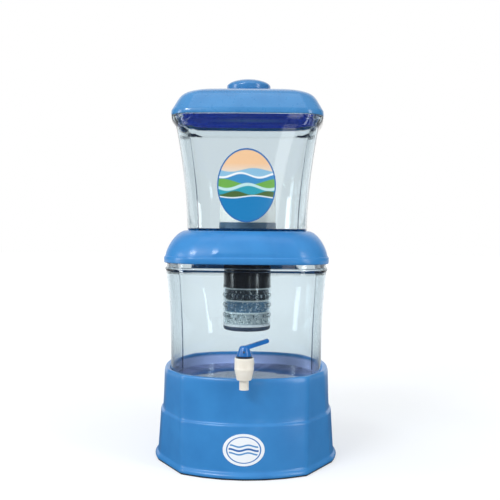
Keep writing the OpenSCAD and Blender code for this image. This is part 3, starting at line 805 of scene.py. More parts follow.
@dataclass(frozen=True)
class PrintedFilm(Recipe):
    """Printed vinyl film: gloss laminate over flat inks. Its print is plain waves and rings."""

    design: Print
    oval: Oval
    soft: float = 0.008

    def surface(self, tree: Tree, place: Any) -> Any:
        """Makes the film with its print, its coloured rim and a clear laminate.

        Args:
            tree: node tree of the material.
            place: object coordinates.

        Returns:
            The shader.
        """
        across, up = 1 / (self.oval.half_w * MM), 1 / (self.oval.half_h * MM)
        middle = (0, 0, -self.oval.z / self.oval.half_h)
        laid = add_node(tree, "Mapping", {"Vector": place, "Location": middle, "Scale": (across, 0.0, up)})[0]
        u, _, v = add_node(tree, "SeparateXYZ", {0: laid})
        distance = add_node(tree, "VectorMath", {0: laid}, operation="LENGTH")["Value"]
        colour: Any = WHITE_INK
        if self.design is Print.WAVES:
            height = add_node(tree, "Math", {0: v, 1: 0.5, 2: 0.5}, operation="MULTIPLY_ADD")[0]
            colour = add_node(tree, "ValToRGB", {0: height}, [(0.55, "D7E9F2"), (0.8, "F2C79B")])["Color"]
        layers = [(band.mask(tree, u, v), band.colour) for band in BANDS[self.design]]
        for start, code in RINGS[self.design]:
            edge = {"Value": distance, "From Min": start - self.soft, "From Max": start + self.soft}
            layers.append((add_node(tree, "MapRange", edge)["Result"], code))
        for mask, code in layers:
            colour = add_node(tree, "Mix", {0: mask, 6: colour, 7: code}, data_type="RGBA")[2]
        grain = add_node(tree, "TexNoise", {"Vector": place, "Scale": lumps(1.2)})["Fac"]
        sockets = {"Base Color": colour, "Coat Weight": 0.3, "Coat Roughness": 0.06}
        return relief_shader(tree, (grain, 0.2, 0.02), (grain, 0.24, 0.34), sockets)


class Finish(Enum):
    """The finishes of the filter, each named for its material."""

    BLUE = "blue_polypropylene"
    PALE_BLUE = "pale_blue_polypropylene"
    CLEAR = "clear_styrene"
    IVORY = "ivory_plastic"
    LEVER = "lever_plastic"
    BLACK = "black_plastic"
    SLATE = "slate_plastic"
    DARK = "dark_plastic"
    WHITE = "white_plastic"
    RUBBER = "black_rubber"
    SILICONE = "silicone"
    CERAMIC = "diatomite_ceramic"
    STEEL = "steel"
    LABEL = "printed_film"
    BADGE = "badge_film"
    PAD = "fibre_pad"
    CARBON = "carbon"
    MINERAL = "mineral_grit"
    ZEOLITE = "zeolite_grit"
    SILICA = "silica_sand"


LABEL_OVAL = Oval.of("front_label")
BADGE_OVAL = Oval.of("front_badge")
RECIPES: dict[Finish, Recipe] = {
    # Moulded in a polished tool: bright blue with soft wide highlights; the pedestal's seat is painted pale
    # lavender, as painted light from the white seen through the clear tank
    Finish.BLUE: MouldedPlastic("blue moulded polypropylene", "3586C8", "2F7DBF", 0.32, inner="CCCFFB"),
    # A paler batch with a harder gloss, for the lid and its knob; the lid's inside is painted deep blue, as
    # painted shade
    Finish.PALE_BLUE: MouldedPlastic(
        "pale blue moulded polypropylene", "4086BF", "387BB4", 0.28, grain_depth=0.003, coat=0.4, inner="3058D8"
    ),
    # Clear tanks and jar: water-white, with a blue cast along the walls and a painted dark line of shade down the
    # tanks' rear corners
    Finish.CLEAR: ClearStyrene("clear moulded styrene"),
    # Acetal tap body: warm off-white, satin
    Finish.IVORY: MouldedPlastic("ivory moulded acetal", "F0ECE2", "E8E2D4", 0.36, 0.7, 0.01, 0.1, 22.0),
    # Lever: deep blue gloss
    Finish.LEVER: MouldedPlastic(
        "deep blue moulded polypropylene", "1B69B4", "165C9F", 0.24, 0.7, 0.008, 0.4, 18.0
    ),
    # Black housing: gloss with one tall highlight
    Finish.BLACK: MouldedPlastic("black moulded polypropylene", "10141C", "0B0F16", 0.22, 0.8, 0.01, 0.5, 24.0),
    # Slate plastic of the dome's base and its nut: matt
    Finish.SLATE: MouldedPlastic("slate moulded polypropylene", "46647D", "3D5970", 0.42, 0.9, 0.015, 0.0, 20.0),
    # Dark cup and bonnet: nearly matt
    Finish.DARK: MouldedPlastic("dark moulded polypropylene", "3A4658", "313C4C", 0.4, 0.9, 0.015, 0.05, 20.0),
    # White slotted screen and stem: nearly matt
    Finish.WHITE: MouldedPlastic("white moulded polypropylene", "E4E7E9", "D9DDE0", 0.4, 0.9, 0.015, 0.05, 20.0),
    # Washers, seal and foot ring: black with a grey bloom; the black foot ring also stands in for the contact
    # shadow under the pedestal
    Finish.RUBBER: MouldedRubber("black moulded rubber", "17181A", "26282B"),
    # Valve cup: milky, a little smoother than rubber
    Finish.SILICONE: MouldedRubber("translucent silicone", "DCDDDD", "EEF0F0", 0.45),
    # Diatomite candle: chalk white, 0.6 mm pores
    Finish.CERAMIC: PorousSolid("fired diatomite ceramic", "F0EEE6", "D9D5C8", 0.6, 0.03),
    # Screw, pin and spring: bright with fine drawing lines
    Finish.STEEL: DrawnSteel("drawn stainless steel"),
    # Films: flat inks under a gloss laminate
    Finish.LABEL: PrintedFilm("printed vinyl film", Print.WAVES, LABEL_OVAL),
    Finish.BADGE: PrintedFilm("printed badge film", Print.RINGS, BADGE_OVAL),
    # Needled polyester pad: white fibres, drawn 0.7 mm coarse so that they show
    Finish.PAD: PorousSolid("needled polyester pad", "ECEDEB", "B9BCBC", 0.7, 0.12, 0.95, 4.0),
    # Carbon block: black and matt, with coarse pits
    Finish.CARBON: PorousSolid("pressed activated carbon", "1D1E20", "0A0A0B", 0.9, 0.12, 0.85),
    # Three beds of grains: mixed greys, slate blues, and pale sand
    Finish.MINERAL: WashedGrit("washed mineral grit", ("2E343A", "69717A", "9DA6AE", "DDE2E5", "485260")),
    Finish.ZEOLITE: WashedGrit("washed zeolite grit", ("6E8DA8", "A9BFD0", "E3EAEE", "4C6A86", "8E9BA6")),
    Finish.SILICA: WashedGrit("washed silica grit", ("B9BCBC", "E6E6E2", "8F9698", "F2F2EF", "5C656C")),
}


@dataclass
class Workshop:
    """Makes finished pieces: mesh, material, body and the CAD nodes that a piece stands for."""

    made: dict[Finish, bpy.types.Material] = field(default_factory=dict)
    crease_deg: float = 30.0
    bevel_deg: float = 35.0
    flat_deg: float = 0.5

    def material(self, finish: Finish) -> bpy.types.Material:
        """Makes a finish's material once.

        Args:
            finish: the finish.

        Returns:
            The material.
        """
        if finish not in self.made:
            self.made[finish] = RECIPES[finish].make()
        return self.made[finish]

    def piece(
        self, name: str, mesh: bpy.types.Mesh, finish: Finish, body: str, replaces: Sequence[str] = ()
    ) -> bpy.types.Object:
        """Puts a mesh into the scene as a piece.

        Args:
            name: name of the piece.
            mesh: its mesh, in metres and in place.
            finish: its finish.
            body: CAD body that it rides on.
            replaces: CAD nodes that it stands for.

        Returns:
            The object, at the origin.
        """
        obj = bpy.data.objects.new(name, mesh)
        bpy.context.scene.collection.objects.link(obj)
        mesh.materials.clear()
        mesh.materials.append(self.material(finish))
        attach(obj, body)
        if replaces:
            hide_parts(*replaces)
        LOG.info("%s: %d faces, rides on %s", name, len(mesh.polygons), body)
        return obj

    def dress(self, node: str, finish: Finish) -> None:
        """Gives a CAD node that stays its finish.

        Args:
            node: name of the node.
            finish: its finish.
        """
        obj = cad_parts[node]
        obj.data.materials.clear()
        obj.data.materials.append(self.material(finish))
        LOG.info("%s: dressed in %s", node, finish.value)

    def eased(self, node: str, name: str, finish: Finish, body: str, ease: float) -> None:
        """Makes a piece from a merged copy of a CAD node, with its edges eased by a small bevel.

        Args:
            node: CAD node that is copied and replaced.
            name: name of the piece.
            finish: its finish.
            body: body that it rides on.
            ease: width of the bevel, in millimetres.
        """
        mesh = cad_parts[node].data.copy()
        mesh.name = name
        work = bmesh.new()
        work.from_mesh(mesh)
        bmesh.ops.remove_doubles(work, verts=work.verts, dist=1e-6)
        flat = math.radians(self.flat_deg)
        bmesh.ops.dissolve_limit(work, angle_limit=flat, verts=work.verts, edges=work.edges)
        work.to_mesh(mesh)
        work.free()
        mesh.polygons.foreach_set("use_smooth", np.ones(len(mesh.polygons), bool))
        mesh.set_sharp_from_angle(angle=math.radians(self.crease_deg))
        obj = self.piece(name, mesh, finish, body, [node])
        bevel = obj.modifiers.new("eased edges", "BEVEL")
        bevel.width = ease * MM
        bevel.segments = 2
        bevel.limit_method = "ANGLE"
        bevel.angle_limit = math.radians(self.bevel_deg)
        bevel.harden_normals = True


# ---------------------------------------------------------------------------
# Sub-assemblies
# ---------------------------------------------------------------------------


@dataclass(frozen=True)
class Stack:
    """Heights that the sub-assemblies share. All but the bead's are read from the solids."""

    deck: float = solid_box("lower_tank")[0, 2]
    base_top: float = solid_box("base_shell")[1, 2]
    bead: float = 307.5
    cover: float = solid_box("middle_cover")[0, 2]
    lower_top: float = solid_box("lower_tank")[1, 2]
    cover_top: float = solid_box("middle_cover")[1, 2]
    lid: float = solid_box("top_lid")[0, 2]
    upper_top: float = solid_box("upper_tank")[1, 2]


STACK = Stack()


def wall_edge(plan: Plan, top: float, wall: float, ease: float = 0.6) -> list[Ring]:
    """Rings over the top of a wall, from its outside to its inside.

    Args:
        plan: plan of the outside.
        top: height of the top.
        wall: thickness.
        ease: easing of both edges.

    Returns:
        The rings.
    """
    return stepped(plan, top, [(-ease, 0), (0, -ease), (0, ease - wall), (-ease, -wall)])


@dataclass
class ClearTank:
    """What the clear tanks share: a foot that widens with the height, a rounded heel, a wall and a floor.

    Painted lines of shade run up the two rear corners, where the bent wall darkens the view. On each row they lie
    at y = share times the row's half depth; the share goes from the first value of the line's pair at the foot to
    the second at the top with the square of the height. wall_rows are the first row of the wall and the end of its
    last one.
    """

    foot: Plan
    flare: float
    side_gain: float
    power: float
    low: float
    high: float
    shade_line: tuple[float, float]
    wall_rows: tuple[int, int]
    wall: float = 3.0
    floor: float = 3.5
    heel: float = 4.0

    def at(self, z: float) -> Plan:
        """Returns the plan at a height: the foot plus the flare times the height's share to a power."""
        t = min(1.0, max(0.0, (z - self.low) / (self.high - self.low)))
        return self.foot.widened(self.flare * t**self.power, self.side_gain * t**self.power)

    def below(self, top: float, steps: int) -> tuple[list[Ring], list[Ring]]:
        """Rings of the tank up to a height.

        Args:
            top: height at which the outside ends and the inside begins.
            steps: number of rings of the wall.

        Returns:
            The rings of the heel and of the wall outside, and those of the wall inside and of the floor.
        """
        levels = np.linspace(self.low + self.heel, top, steps)
        outside = quarter_turn(self.foot, self.low, self.heel, -self.heel) + [(z, self.at(z)) for z in levels[1:]]
        inside = [(z, self.at(z).grown(-self.wall)) for z in levels[::-1]]
        floor = stepped(self.foot, self.low + self.floor, [(0.2, -self.wall - 0.8), (0, -self.heel - 1)])
        return outside, inside + floor

    def shade_line_marks(self, rows: np.ndarray) -> np.ndarray:
        """Measures how far the wall's points are from the painted shade lines down the rear corners.

        Args:
            rows: the rows of the whole tank, in millimetres.

        Returns:
            For a point of the wall 1000 plus its distance from the nearer painted shade line in millimetres,
            counted negative in front of it; 0 off the wall.
        """
        wall = slice(*self.wall_rows)
        part = rows[wall]
        z = part[..., 2].mean(axis=1)
        up = (z - z.min()) / (z.max() - z.min())
        y_shade_line = (self.shade_line[0] + (self.shade_line[1] - self.shade_line[0]) * up**2) * part[..., 1].max(axis=1)
        x_shade_line = np.empty(len(part))
        for index, row in enumerate(part):
            rear = row[(row[:, 0] > 0) & (row[:, 1] > 0)]
            rear = rear[np.argsort(rear[:, 1])]
            x_shade_line[index] = np.interp(y_shade_line[index], rear[:, 1], rear[:, 0])
        ahead = part[..., 1] - y_shade_line[:, None]
        gap = np.hypot(np.abs(part[..., 0]) - x_shade_line[:, None], ahead)
        marks = np.zeros(rows.shape[:2])
        marks[wall] = ON_SHADE_LINE + np.copysign(gap, ahead)
        return marks


@dataclass
class LowerTank(ClearTank):
    """Clear lower tank: widens to a bead, then steps in to a neck under the cover's skirt."""

    foot: Plan = Plan.square(117.8, 52.0, 4.0)
    flare: float = 6.0
    side_gain: float = 28.0
    power: float = 2.44
    low: float = STACK.deck
    high: float = STACK.bead
    # places of the painted shade lines at the rear corners, as shares of the half depth
    shade_line: tuple[float, float] = (0.47, 0.5)
    wall_rows: tuple[int, int] = (6, -2)
    bead_half: float = 2.5
    bead_out: float = 1.2
    neck_up: float = 3.0
    neck_in: float = 1.3

    @property
    def neck(self) -> Plan:
        """Plan of the neck inside the cover's skirt."""
        return self.at(self.high).grown(-self.neck_in)

    def rings(self) -> list[Ring]:
        """Lays out the wall, up the outside and down the inside.

        Returns:
            The rings.
        """
        outside, inside = self.below(self.high - self.bead_half, 26)
        swell = [(self.bead_half * s, self.bead_out * math.cos(s * QUARTER)) for s in (-0.7, -0.35, 0, 0.35, 0.7)]
        bead = stepped(self.at(self.high), self.high, swell)
        edge = wall_edge(self.neck, STACK.lower_top, self.wall)
        start, end = stepped(self.neck, self.high, [(self.neck_up, 0), (0, -self.wall)])
        return [*outside, *bead, start, *edge, end, *inside]

    def build(self, shop: Workshop) -> None:
        """Builds the tank.

        Args:
            shop: workshop that makes the pieces.
        """
        rows = loft_grid(self.rings())
        shape = Shape().grid(rows, first=(0, 0, self.low), last=(0, 0, self.low + self.floor))
        # the marks place the painted shade lines down the rear corners
        mesh = shape.mesh("lower_tank_shell", marks={"shade_line": self.shade_line_marks(rows)})
        shop.piece("lower_tank_shell", mesh, Finish.CLEAR, "lower_tank", ["lower_tank"])


@dataclass
class Pedestal:
    """Blue pedestal: foot flange, stepped ledge, rounded rim and a seat for the lower tank."""

    tank: LowerTank
    half_w: float = 148.0
    front: Panel = Panel(0.0, 95.0, 26.0)
    end: Panel = Panel(0.0, 49.5, 9.0)
    side_gain: float = 1.5
    end_gain: float = 11.0
    wall: float = 3.0
    lip: float = 3.5
    seat_gap: float = 0.8
    seat_lean: float = 0.01
    # rows of the seat that take the painted light of the blue's inner colour
    lit_seat_rows: int = 5
    hollow: tuple[float, ...] = (99, 90, 82, 77, 45, 13, 6, 2)
    shares: tuple[tuple[float, float], ...] = (
        (2.0, 0.992), (2.8, 0.998), (4.0, 1.0), (5.5, 0.998), (7.0, 0.993), (8.5, 0.985), (10.0, 0.974),
        (11.5, 0.968), (14.0, 0.9668), (45.0, 0.9525), (76.4, 0.9385), (77.6, 0.937), (78.8, 0.9325),
        (80.0, 0.924), (81.0, 0.918), (82.5, 0.9152), (90.0, 0.912), (99.0, 0.908), (118.0, 0.9045),
        (136.0, 0.9003), (139.5, 0.8993), (142.5, 0.8968), (144.8, 0.8925), (146.4, 0.887), (147.3, 0.881),
    )

    def ring(self, z: float, share: float) -> Plan:
        """Makes the plan at a height; its panels get longer with the height.

        Args:
            z: the height.
            share: share of the foot's width.

        Returns:
            The plan.
        """
        reach, up = self.half_w * share, z / STACK.base_top
        return Plan(
            self.front.moved(reach - self.front.bulge, self.side_gain * up),
            self.end.moved(reach - self.end.bulge, self.end_gain * up),
            0.0,
        )

    def at(self, z: float) -> Plan:
        """Returns the plan at a height, with the share of the foot's size there."""
        return self.ring(z, float(np.interp(z, *np.array(self.shares).T)))

    def rings(self) -> list[Ring]:
        """Lays out the pedestal: from under the deck down the hollow, up the outside, over the rim, into the seat.

        Returns:
            The rings.
        """
        seat = self.tank.foot.grown(self.seat_gap)
        ceiling = STACK.deck - self.wall
        under = stepped(self.at(ceiling).grown(-self.wall), ceiling, [(0, -2), (0, -0.5), (-0.5, 0)])
        inside = [(z, self.at(z).grown(-self.wall)) for z in self.hollow]
        outside = [(z, self.ring(z, share)) for z, share in self.shares]
        over = quarter_turn(seat, STACK.base_top, -self.lip, 0.6 * self.lip)
        wall = stepped(seat, STACK.deck, [(up, self.seat_lean * up) for up in (16, 8, 2)])
        corner = stepped(seat, STACK.deck, [(0.6, -0.2), (0, -1.2)])
        return under + inside + outside + over + wall + corner

    def build(self, shop: Workshop) -> None:
        """Builds the pedestal and its emblem plate, and dresses the foot ring.

        Args:
            shop: workshop that makes the pieces.
        """
        rows = loft_grid(self.rings())
        shape = Shape().grid(rows, first=(0, 0, STACK.deck - self.wall), last=(0, 0, STACK.deck))
        # the seat's rows are painted pale, as painted light
        marks = {"inside": inside_marks(rows, slice(-self.lit_seat_rows, None))}
        shop.piece("pedestal", shape.mesh("pedestal", marks=marks), Finish.BLUE, "base", ["base_shell"])
        # the black rubber foot ring also stands in for the contact shadow under the pedestal
        shop.dress("foot_ring", Finish.RUBBER)
        plate = BADGE_OVAL.film(lambda x, z: self.at(z).reach(x))
        shop.piece("badge", plate.mesh("badge", 50), Finish.BADGE, "base", ["front_badge"])


@dataclass
class MiddleCover:
    """Blue cover between the tanks: upright lip, domed shoulders with a bib at the front, flat plateau."""

    neck: Plan
    stand: Plan
    skirt_out: float = 3.7
    plateau_out: float = 3.0
    wall: float = 3.0
    hole: float = 47.0
    swell: float = 0.5
    lip_h: float = 10.0
    bib_half: float = 30.0
    bib_slope: float = 0.5
    bib_fade: float = 2.5
    bib_out: float = 0.9
    bib_up: float = 0.5
    bib_first: int = 15
    bib_clear: float = 60.0

    @property
    def lip(self) -> Plan:
        """Plan of the upright lip, which stands round the lower tank's neck."""
        return self.neck.grown(self.skirt_out)

    @property
    def plateau(self) -> Plan:
        """Plan of the flat that the upper tank stands on."""
        return self.stand.grown(self.plateau_out)

    def at(self, t: float) -> Plan:
        """Returns the plan at a share of the height: from lip to plateau as (1 - t^1.8)^0.62."""
        return self.plateau.towards(self.lip, (1 - t**1.8) ** 0.62)

    def rows(self) -> np.ndarray:
        """Lays out the cover: down the inside to the skirt, round the lip, up the shoulders, in to the hole.

        Returns:
            The closed loop of rows.
        """
        low, top = STACK.cover, STACK.cover_top
        shares = np.concatenate([np.linspace(0.215, 0.8, 16), 1 - 0.2 * np.linspace(1, 0, 12)[1:] ** 1.7])
        outside = [(low + (top - low) * t, self.at(t)) for t in shares]
        steps = [(0.5, self.swell + 0.15), (0.86, self.swell), (1, -0.2)]
        foot = [(0, -0.6), (0.25, -0.1), (1.2, self.swell)]
        lip = stepped(self.lip, low, foot + [(self.lip_h * share, out) for share, out in steps])
        hollow = (0.94, 0.84, 0.73, 0.62, 0.5, 0.4)
        inside = [(low + (top - low) * t - 1.2, self.at(t).grown(-self.wall)) for t in hollow]
        ledge = stepped(self.lip, STACK.lower_top, [(0, -self.wall - 4), (0, -self.wall)])
        ledge += stepped(self.lip, low, [(0, -self.wall)])
        solid = loft_grid(inside + ledge + lip + outside)
        hole = [(self.hole + 1.0, top), (self.hole, top - 0.6), (self.hole, top - self.wall)]
        return np.concatenate([solid, circles_in(solid[-1], hole)])

    def bib(self, rows: np.ndarray) -> np.ndarray:
        """Raises a shallow bib on the front shoulder.

        The rise is 1 inside the lines |x| = half + slope (top - z) and falls to 0 over bib_fade beside them.
        It acts on points of the outside at the front, and moves them out and a little up.

        Args:
            rows: rows of points.

        Returns:
            The rows with the bib.
        """
        x, y, z = rows[..., 0], rows[..., 1], rows[..., 2]
        edge = self.bib_half + self.bib_slope * (STACK.cover_top - z)
        rise = smooth(np.clip((edge - np.abs(x)) / self.bib_fade + 0.5, 0, 1))
        rise *= np.clip((z - STACK.cover - self.lip_h - 2) / 3, 0, 1)
        outer = (np.arange(len(rows))[:, None] >= self.bib_first) & (np.hypot(x, y) > self.bib_clear)
        rise *= outer & (y < -self.plateau.front.half * 0.9)
        moved = rows.copy()
        moved[..., 1] -= self.bib_out * rise
        moved[..., 2] += self.bib_up * rise * (z < STACK.cover_top - 0.5)
        return moved

    def build(self, shop: Workshop) -> None:
        """Builds the cover."""
        mesh = Shape().grid(self.bib(self.rows()), loop=True).mesh("middle_cover_shell")
        shop.piece("middle_cover_shell", mesh, Finish.BLUE, "middle_cover", ["middle_cover"])


@dataclass
class UpperTank(ClearTank):
    """Clear upper tank that flares to a rim, with an oval label on its front."""

    foot: Plan = Plan.square(93.1, 54.0, 4.0)
    flare: float = 19.8
    side_gain: float = 34.0
    power: float = 1.76
    low: float = STACK.cover_top
    high: float = STACK.upper_top
    # places of the painted shade lines at the rear corners, as shares of the half depth
    shade_line: tuple[float, float] = (0.615, 0.72)
    wall_rows: tuple[int, int] = (13, -4)
    rim_up: float = 24.0
    rim_turn: float = 12.4
    rim_out: float = 2.5
    skirt_out: float = 0.6
    skirt_room: float = 3.7
    hole: float = 9.3
    boss: tuple[float, float] = (46.7, 44.0)
    boss_h: float = 5.0

    @property
    def rim(self) -> Plan:
        """Plan of the rim."""
        return self.at(self.high).grown(self.rim_out)

    @property
    def lid(self) -> Plan:
        """Plan of the lid's skirt."""
        return self.rim.grown(self.skirt_out)

    def rows(self) -> np.ndarray:
        """Lays out the tank, from the floor's hole out, up the wall, over the rim and back.

        Returns:
            The closed loop of rows.
        """
        top, foot, floor = self.high, self.low, self.low + self.floor
        shoulder = top - self.rim_up
        outside, inside = self.below(shoulder, 24)
        under = self.at(shoulder)
        flare = [(shoulder + self.rim_turn * s, under.towards(self.rim, smooth(s))) for s in (0.25, 0.5, 0.75)]
        neck = self.lid.grown(-self.skirt_room)
        rim = stepped(self.rim, top, [(-10.9, -0.2)]) + stepped(self.rim, STACK.lid, [(-1.2, 0), (-0.5, -0.6)])
        rim += stepped(neck, STACK.lid, [(-0.5, 0)]) + wall_edge(neck, top, self.wall)
        rim += stepped(neck, STACK.lid, [(0, -self.wall), (-5, -self.wall - 0.6)])
        solid = loft_grid(outside + flare + rim + inside)
        outer, inner = self.boss
        end = foot - self.boss_h
        boss = [
            (inner, foot), (inner, end + 0.5), (inner + 0.5, end),
            (outer - 0.5, end), (outer, end + 0.5), (outer, foot),
        ]
        hole = [(self.hole + 0.6, floor), (self.hole, floor - 0.6), (self.hole, foot)]
        shut = circles_in(solid[-1], hole)
        return np.concatenate([shut[-1:], circles_in(solid[0], boss), solid, shut[:-1]])

    def build(self, shop: Workshop) -> None:
        """Builds the tank and its label.

        Args:
            shop: workshop that makes the pieces.
        """
        rows = self.rows()
        # the marks place the painted shade lines down the rear corners
        mesh = Shape().grid(rows, loop=True).mesh("upper_tank_shell", marks={"shade_line": self.shade_line_marks(rows)})
        shop.piece("upper_tank_shell", mesh, Finish.CLEAR, "upper_tank", ["upper_tank"])
        label = LABEL_OVAL.film(lambda x, z: self.at(z).reach(x))
        shop.piece("label", label.mesh("label", 50), Finish.LABEL, "upper_tank", ["front_label"])


@dataclass
class CeramicDome:
    """Ceramic candle on its slate base, bolted through the floor of the upper tank."""

    radius: float = 45.6
    base_top: float = 379.4
    height: float = 78.0
    wall: float = 8.0
    round_share: float = 0.86
    ease: float = 0.8

    def candle(self) -> Shape:
        """Makes the candle: a hollow drum with a rounded top.

        Returns:
            The closed shape.
        """
        round_h = self.radius * self.round_share
        spring = self.base_top + self.height - round_h
        inside = quarter_arc(self.radius - self.wall, spring, round_h - self.wall, 18)[::-1]
        foot = [(self.radius - self.wall, self.base_top), (self.radius - self.ease, self.base_top)]
        side = [(self.radius, z) for z in np.linspace(self.base_top + self.ease, spring, 7)[:-1]]
        return turned_shape(np.concatenate([inside, foot, side, quarter_arc(self.radius, spring, round_h, 24)]))

    def build(self, shop: Workshop) -> None:
        """Builds the candle and the pieces that clamp it.

        Args:
            shop: workshop that makes the pieces.
        """
        mesh = self.candle().mesh("ceramic_candle")
        shop.piece("ceramic_candle", mesh, Finish.CERAMIC, "upper_tank", ["ceramic_dome"])
        shop.eased("ceramic_base", "candle_base", Finish.SLATE, "upper_tank", 0.4)
        shop.eased("outlet_nut", "outlet_lock_nut", Finish.SLATE, "upper_tank", 0.5)
        for node in ("dome_gasket", "outlet_washer"):
            shop.eased(node, node + "_ring", Finish.RUBBER, "upper_tank", 0.2)


@dataclass
class Cartridge:
    """Media cartridge: black housing, ribbed clear jar with three beds of grains, screen and cup."""

    radius: float = 38.6
    wall: float = 2.2
    top: float = 346.0
    housing_h: float = 72.0
    jar_h: float = 58.5
    pad: float = 2.4
    play: float = 0.05
    ribs: tuple[float, ...] = (0.235, 0.515, 0.785)
    rib_h: float = 7.0
    rib_out: float = 1.5
    grains: int = 520
    grain_mm: tuple[float, float] = (1.5, 2.9)
    grain_stretch: tuple[float, float] = (0.72, 1.12)
    turn_jitter: float = 0.2
    rise_jitter: float = 0.05
    core_in: float = 1.5
    core_tone: float = 0.1
    spread_turn: float = 2.399963  # golden angle: neighbours in number stand far apart
    spread_rise: float = 0.7548777  # its like for heights, as a share of the room
    beds: tuple[tuple[str, Finish, int], ...] = (
        ("silica_bed", Finish.SILICA, 11),
        ("zeolite_bed", Finish.ZEOLITE, 23),
        ("mineral_bed", Finish.MINERAL, 37),
    )

    @property
    def jar_top(self) -> float:
        """Height of the jar's top."""
        return self.top - self.housing_h

    @property
    def jar_z(self) -> float:
        """Height of the jar's bottom."""
        return self.jar_top - self.jar_h

    def housing(self) -> Shape:
        """Makes the black housing, a turned shell with a neck.

        Returns:
            The closed shape.
        """
        r, t, j, bore = self.radius, self.top, self.jar_top, self.radius - self.wall
        corners = [
            (9.1, t - 9), (14, t - 9), (14, t - 3), (bore, t - 5), (bore, j), (r + 0.6, j), (r + 0.6, j + 3.2),
            (r, j + 4), (r, t - 6), (r - 5, t), (15.5, t), (14, t + 1.5), (14, t + 11), (9.1, t + 11),
            (9.1, t - 9),
        ]
        ease = [0.4, 0.4, 1.0, 0.3, 0.6, 0.6, 0.5, 3.0, 3.0, 1.0, 1.0, 0.8, 0.4]
        return turned_shape(eased_profile(corners, ease)[:-1])

    def jar(self) -> Shape:
        """Makes the clear jar: a sleeve whose outside swells by a raised cosine at each rib.

        Returns:
            The closed shape.
        """
        z = np.linspace(self.jar_z, self.jar_top, 91)
        out = np.full_like(z, self.radius)
        for share in self.ribs:
            off = np.clip((z - self.jar_z - self.jar_h * share) / (self.rib_h / 2), -1, 1)
            out += self.rib_out * 0.5 * (1 + np.cos(math.pi * off))
        inside = [(self.radius - self.wall, self.jar_top), (self.radius - self.wall, self.jar_z)]
        return turned_shape(np.concatenate([np.stack([out, z], -1), inside]))

    def bed(self, index: int, seed: int) -> tuple[Shape, np.ndarray]:
        """Makes one bed: a core of grit with loose grains pressed against the jar.

        Each grain is a rounded octahedron, stretched and turned at random, standing on the media's radius at
        an even spread of angles and heights.

        Args:
            index: bed number, counted from the lowest.
            seed: seed of its random draws.

        Returns:
            The shape, and the tone of each of its points.
        """
        rng = np.random.default_rng(seed)
        bed_h = (self.jar_h - 3 * self.pad - 4 * self.play) / 3
        low = self.jar_z + self.play + index * (bed_h + self.pad + self.play)
        high = low + bed_h - self.play
        media_r = self.radius - self.wall - 3 * self.play
        core_r = media_r - self.core_in
        side = [(core_r, z) for z in np.linspace(low + 0.3, high - 0.3, 6)]
        shape = turned_shape(np.array([(0, low), (core_r - 0.4, low), *side, (core_r - 0.4, high), (0, high)]), 72)
        core_tones = np.full(shape.count, self.core_tone)
        unit = rounded_octahedron()
        n = self.grains
        size = rng.uniform(*self.grain_mm, n) / 2
        jitter = rng.uniform(-self.turn_jitter, self.turn_jitter, n)
        angle = (np.arange(n) * self.spread_turn + jitter) % (2 * math.pi)
        room = np.maximum(high - low - 2 * size, 0.1)
        rise = (np.arange(n) * self.spread_rise + rng.uniform(0, self.rise_jitter, n)) % 1
        stretch = rng.uniform(*self.grain_stretch, (n, 1, 3)) * size[:, None, None]
        body = np.einsum("nij,nkj->nki", random_turns(rng, n), unit[None] * stretch)
        reach = np.abs(body).max(axis=(1, 2))
        radius = media_r - np.maximum(reach, size)
        level = np.clip(low + size + room * rise, low + reach, high - reach)
        centre = np.stack([radius * np.cos(angle), radius * np.sin(angle), level], -1)
        first = shape.keep(body + centre[:, None]) + np.arange(n)[:, None, None] * len(unit)
        shape.faces.append((convex_faces(unit)[None] + first).reshape(-1, 3))
        return shape, np.append(core_tones, np.repeat(rng.uniform(0, 1, n), len(unit)))

    def build(self, shop: Workshop) -> None:
        """Builds the cartridge and dresses its inner pieces.

        Args:
            shop: workshop that makes the pieces.
        """
        cap, jar = self.housing().mesh("cartridge_cap"), self.jar().mesh("media_jar")
        shop.piece("cartridge_cap", cap, Finish.BLACK, "upper_tank", ["cartridge_housing"])
        shop.piece("media_jar", jar, Finish.CLEAR, "upper_tank", ["cartridge_jar"])
        for index, (node, finish, seed) in enumerate(self.beds):
            shape, tone = self.bed(index, seed)
            mesh = shape.mesh(node + "_grains", 20, {"tone": tone})
            shop.piece(node + "_grains", mesh, finish, "upper_tank", [node])
        for node in ("upper_pad", "middle_pad", "lower_pad"):
            shop.dress(node, Finish.PAD)
        shop.dress("carbon_block", Finish.CARBON)
        shop.dress("cartridge_seal", Finish.RUBBER)
        shop.eased("outlet_screen", "slotted_screen", Finish.WHITE, "upper_tank", 0.2)
        shop.eased("outlet_cup", "drain_cup", Finish.DARK, "upper_tank", 0.4)


def rounded_octahedron(edge_in: float = 0.94) -> np.ndarray:
    """The tips of a unit octahedron and the middles of its edges, pushed outwards.

    Args:
        edge_in: distance of the middles from the centre.

    Returns:
        Points of shape (18, 3).
    """
    tips = np.array([(1, 0, 0), (-1, 0, 0), (0, 1, 0), (0, -1, 0), (0, 0, 1), (0, 0, -1)], float)
    mids = np.array([a + b for i, a in enumerate(tips) for b in tips[i + 1 :] if abs(a @ b) < 0.5])
    return np.concatenate([tips, mids / np.linalg.norm(mids, axis=1, keepdims=True) * edge_in])


def convex_faces(points: np.ndarray) -> np.ndarray:
    """The triangles round a small convex set of points.

    Args:
        points: the points, round the origin.

    Returns:
        Indices of the corners of each triangle, in the order that faces outwards.
    """
    work = bmesh.new()
    for p in points:
        work.verts.new(p)
    bmesh.ops.convex_hull(work, input=work.verts)
    bmesh.ops.triangulate(work, faces=work.faces)
    work.verts.index_update()
    faces = []
    for f in work.faces:
        index = [v.index for v in f.verts]
        a, b, c = points[index]
        if np.cross(b - a, c - a) @ (a + b + c) < 0:
            index.reverse()
        faces.append(index)
    work.free()
    return np.array(faces)


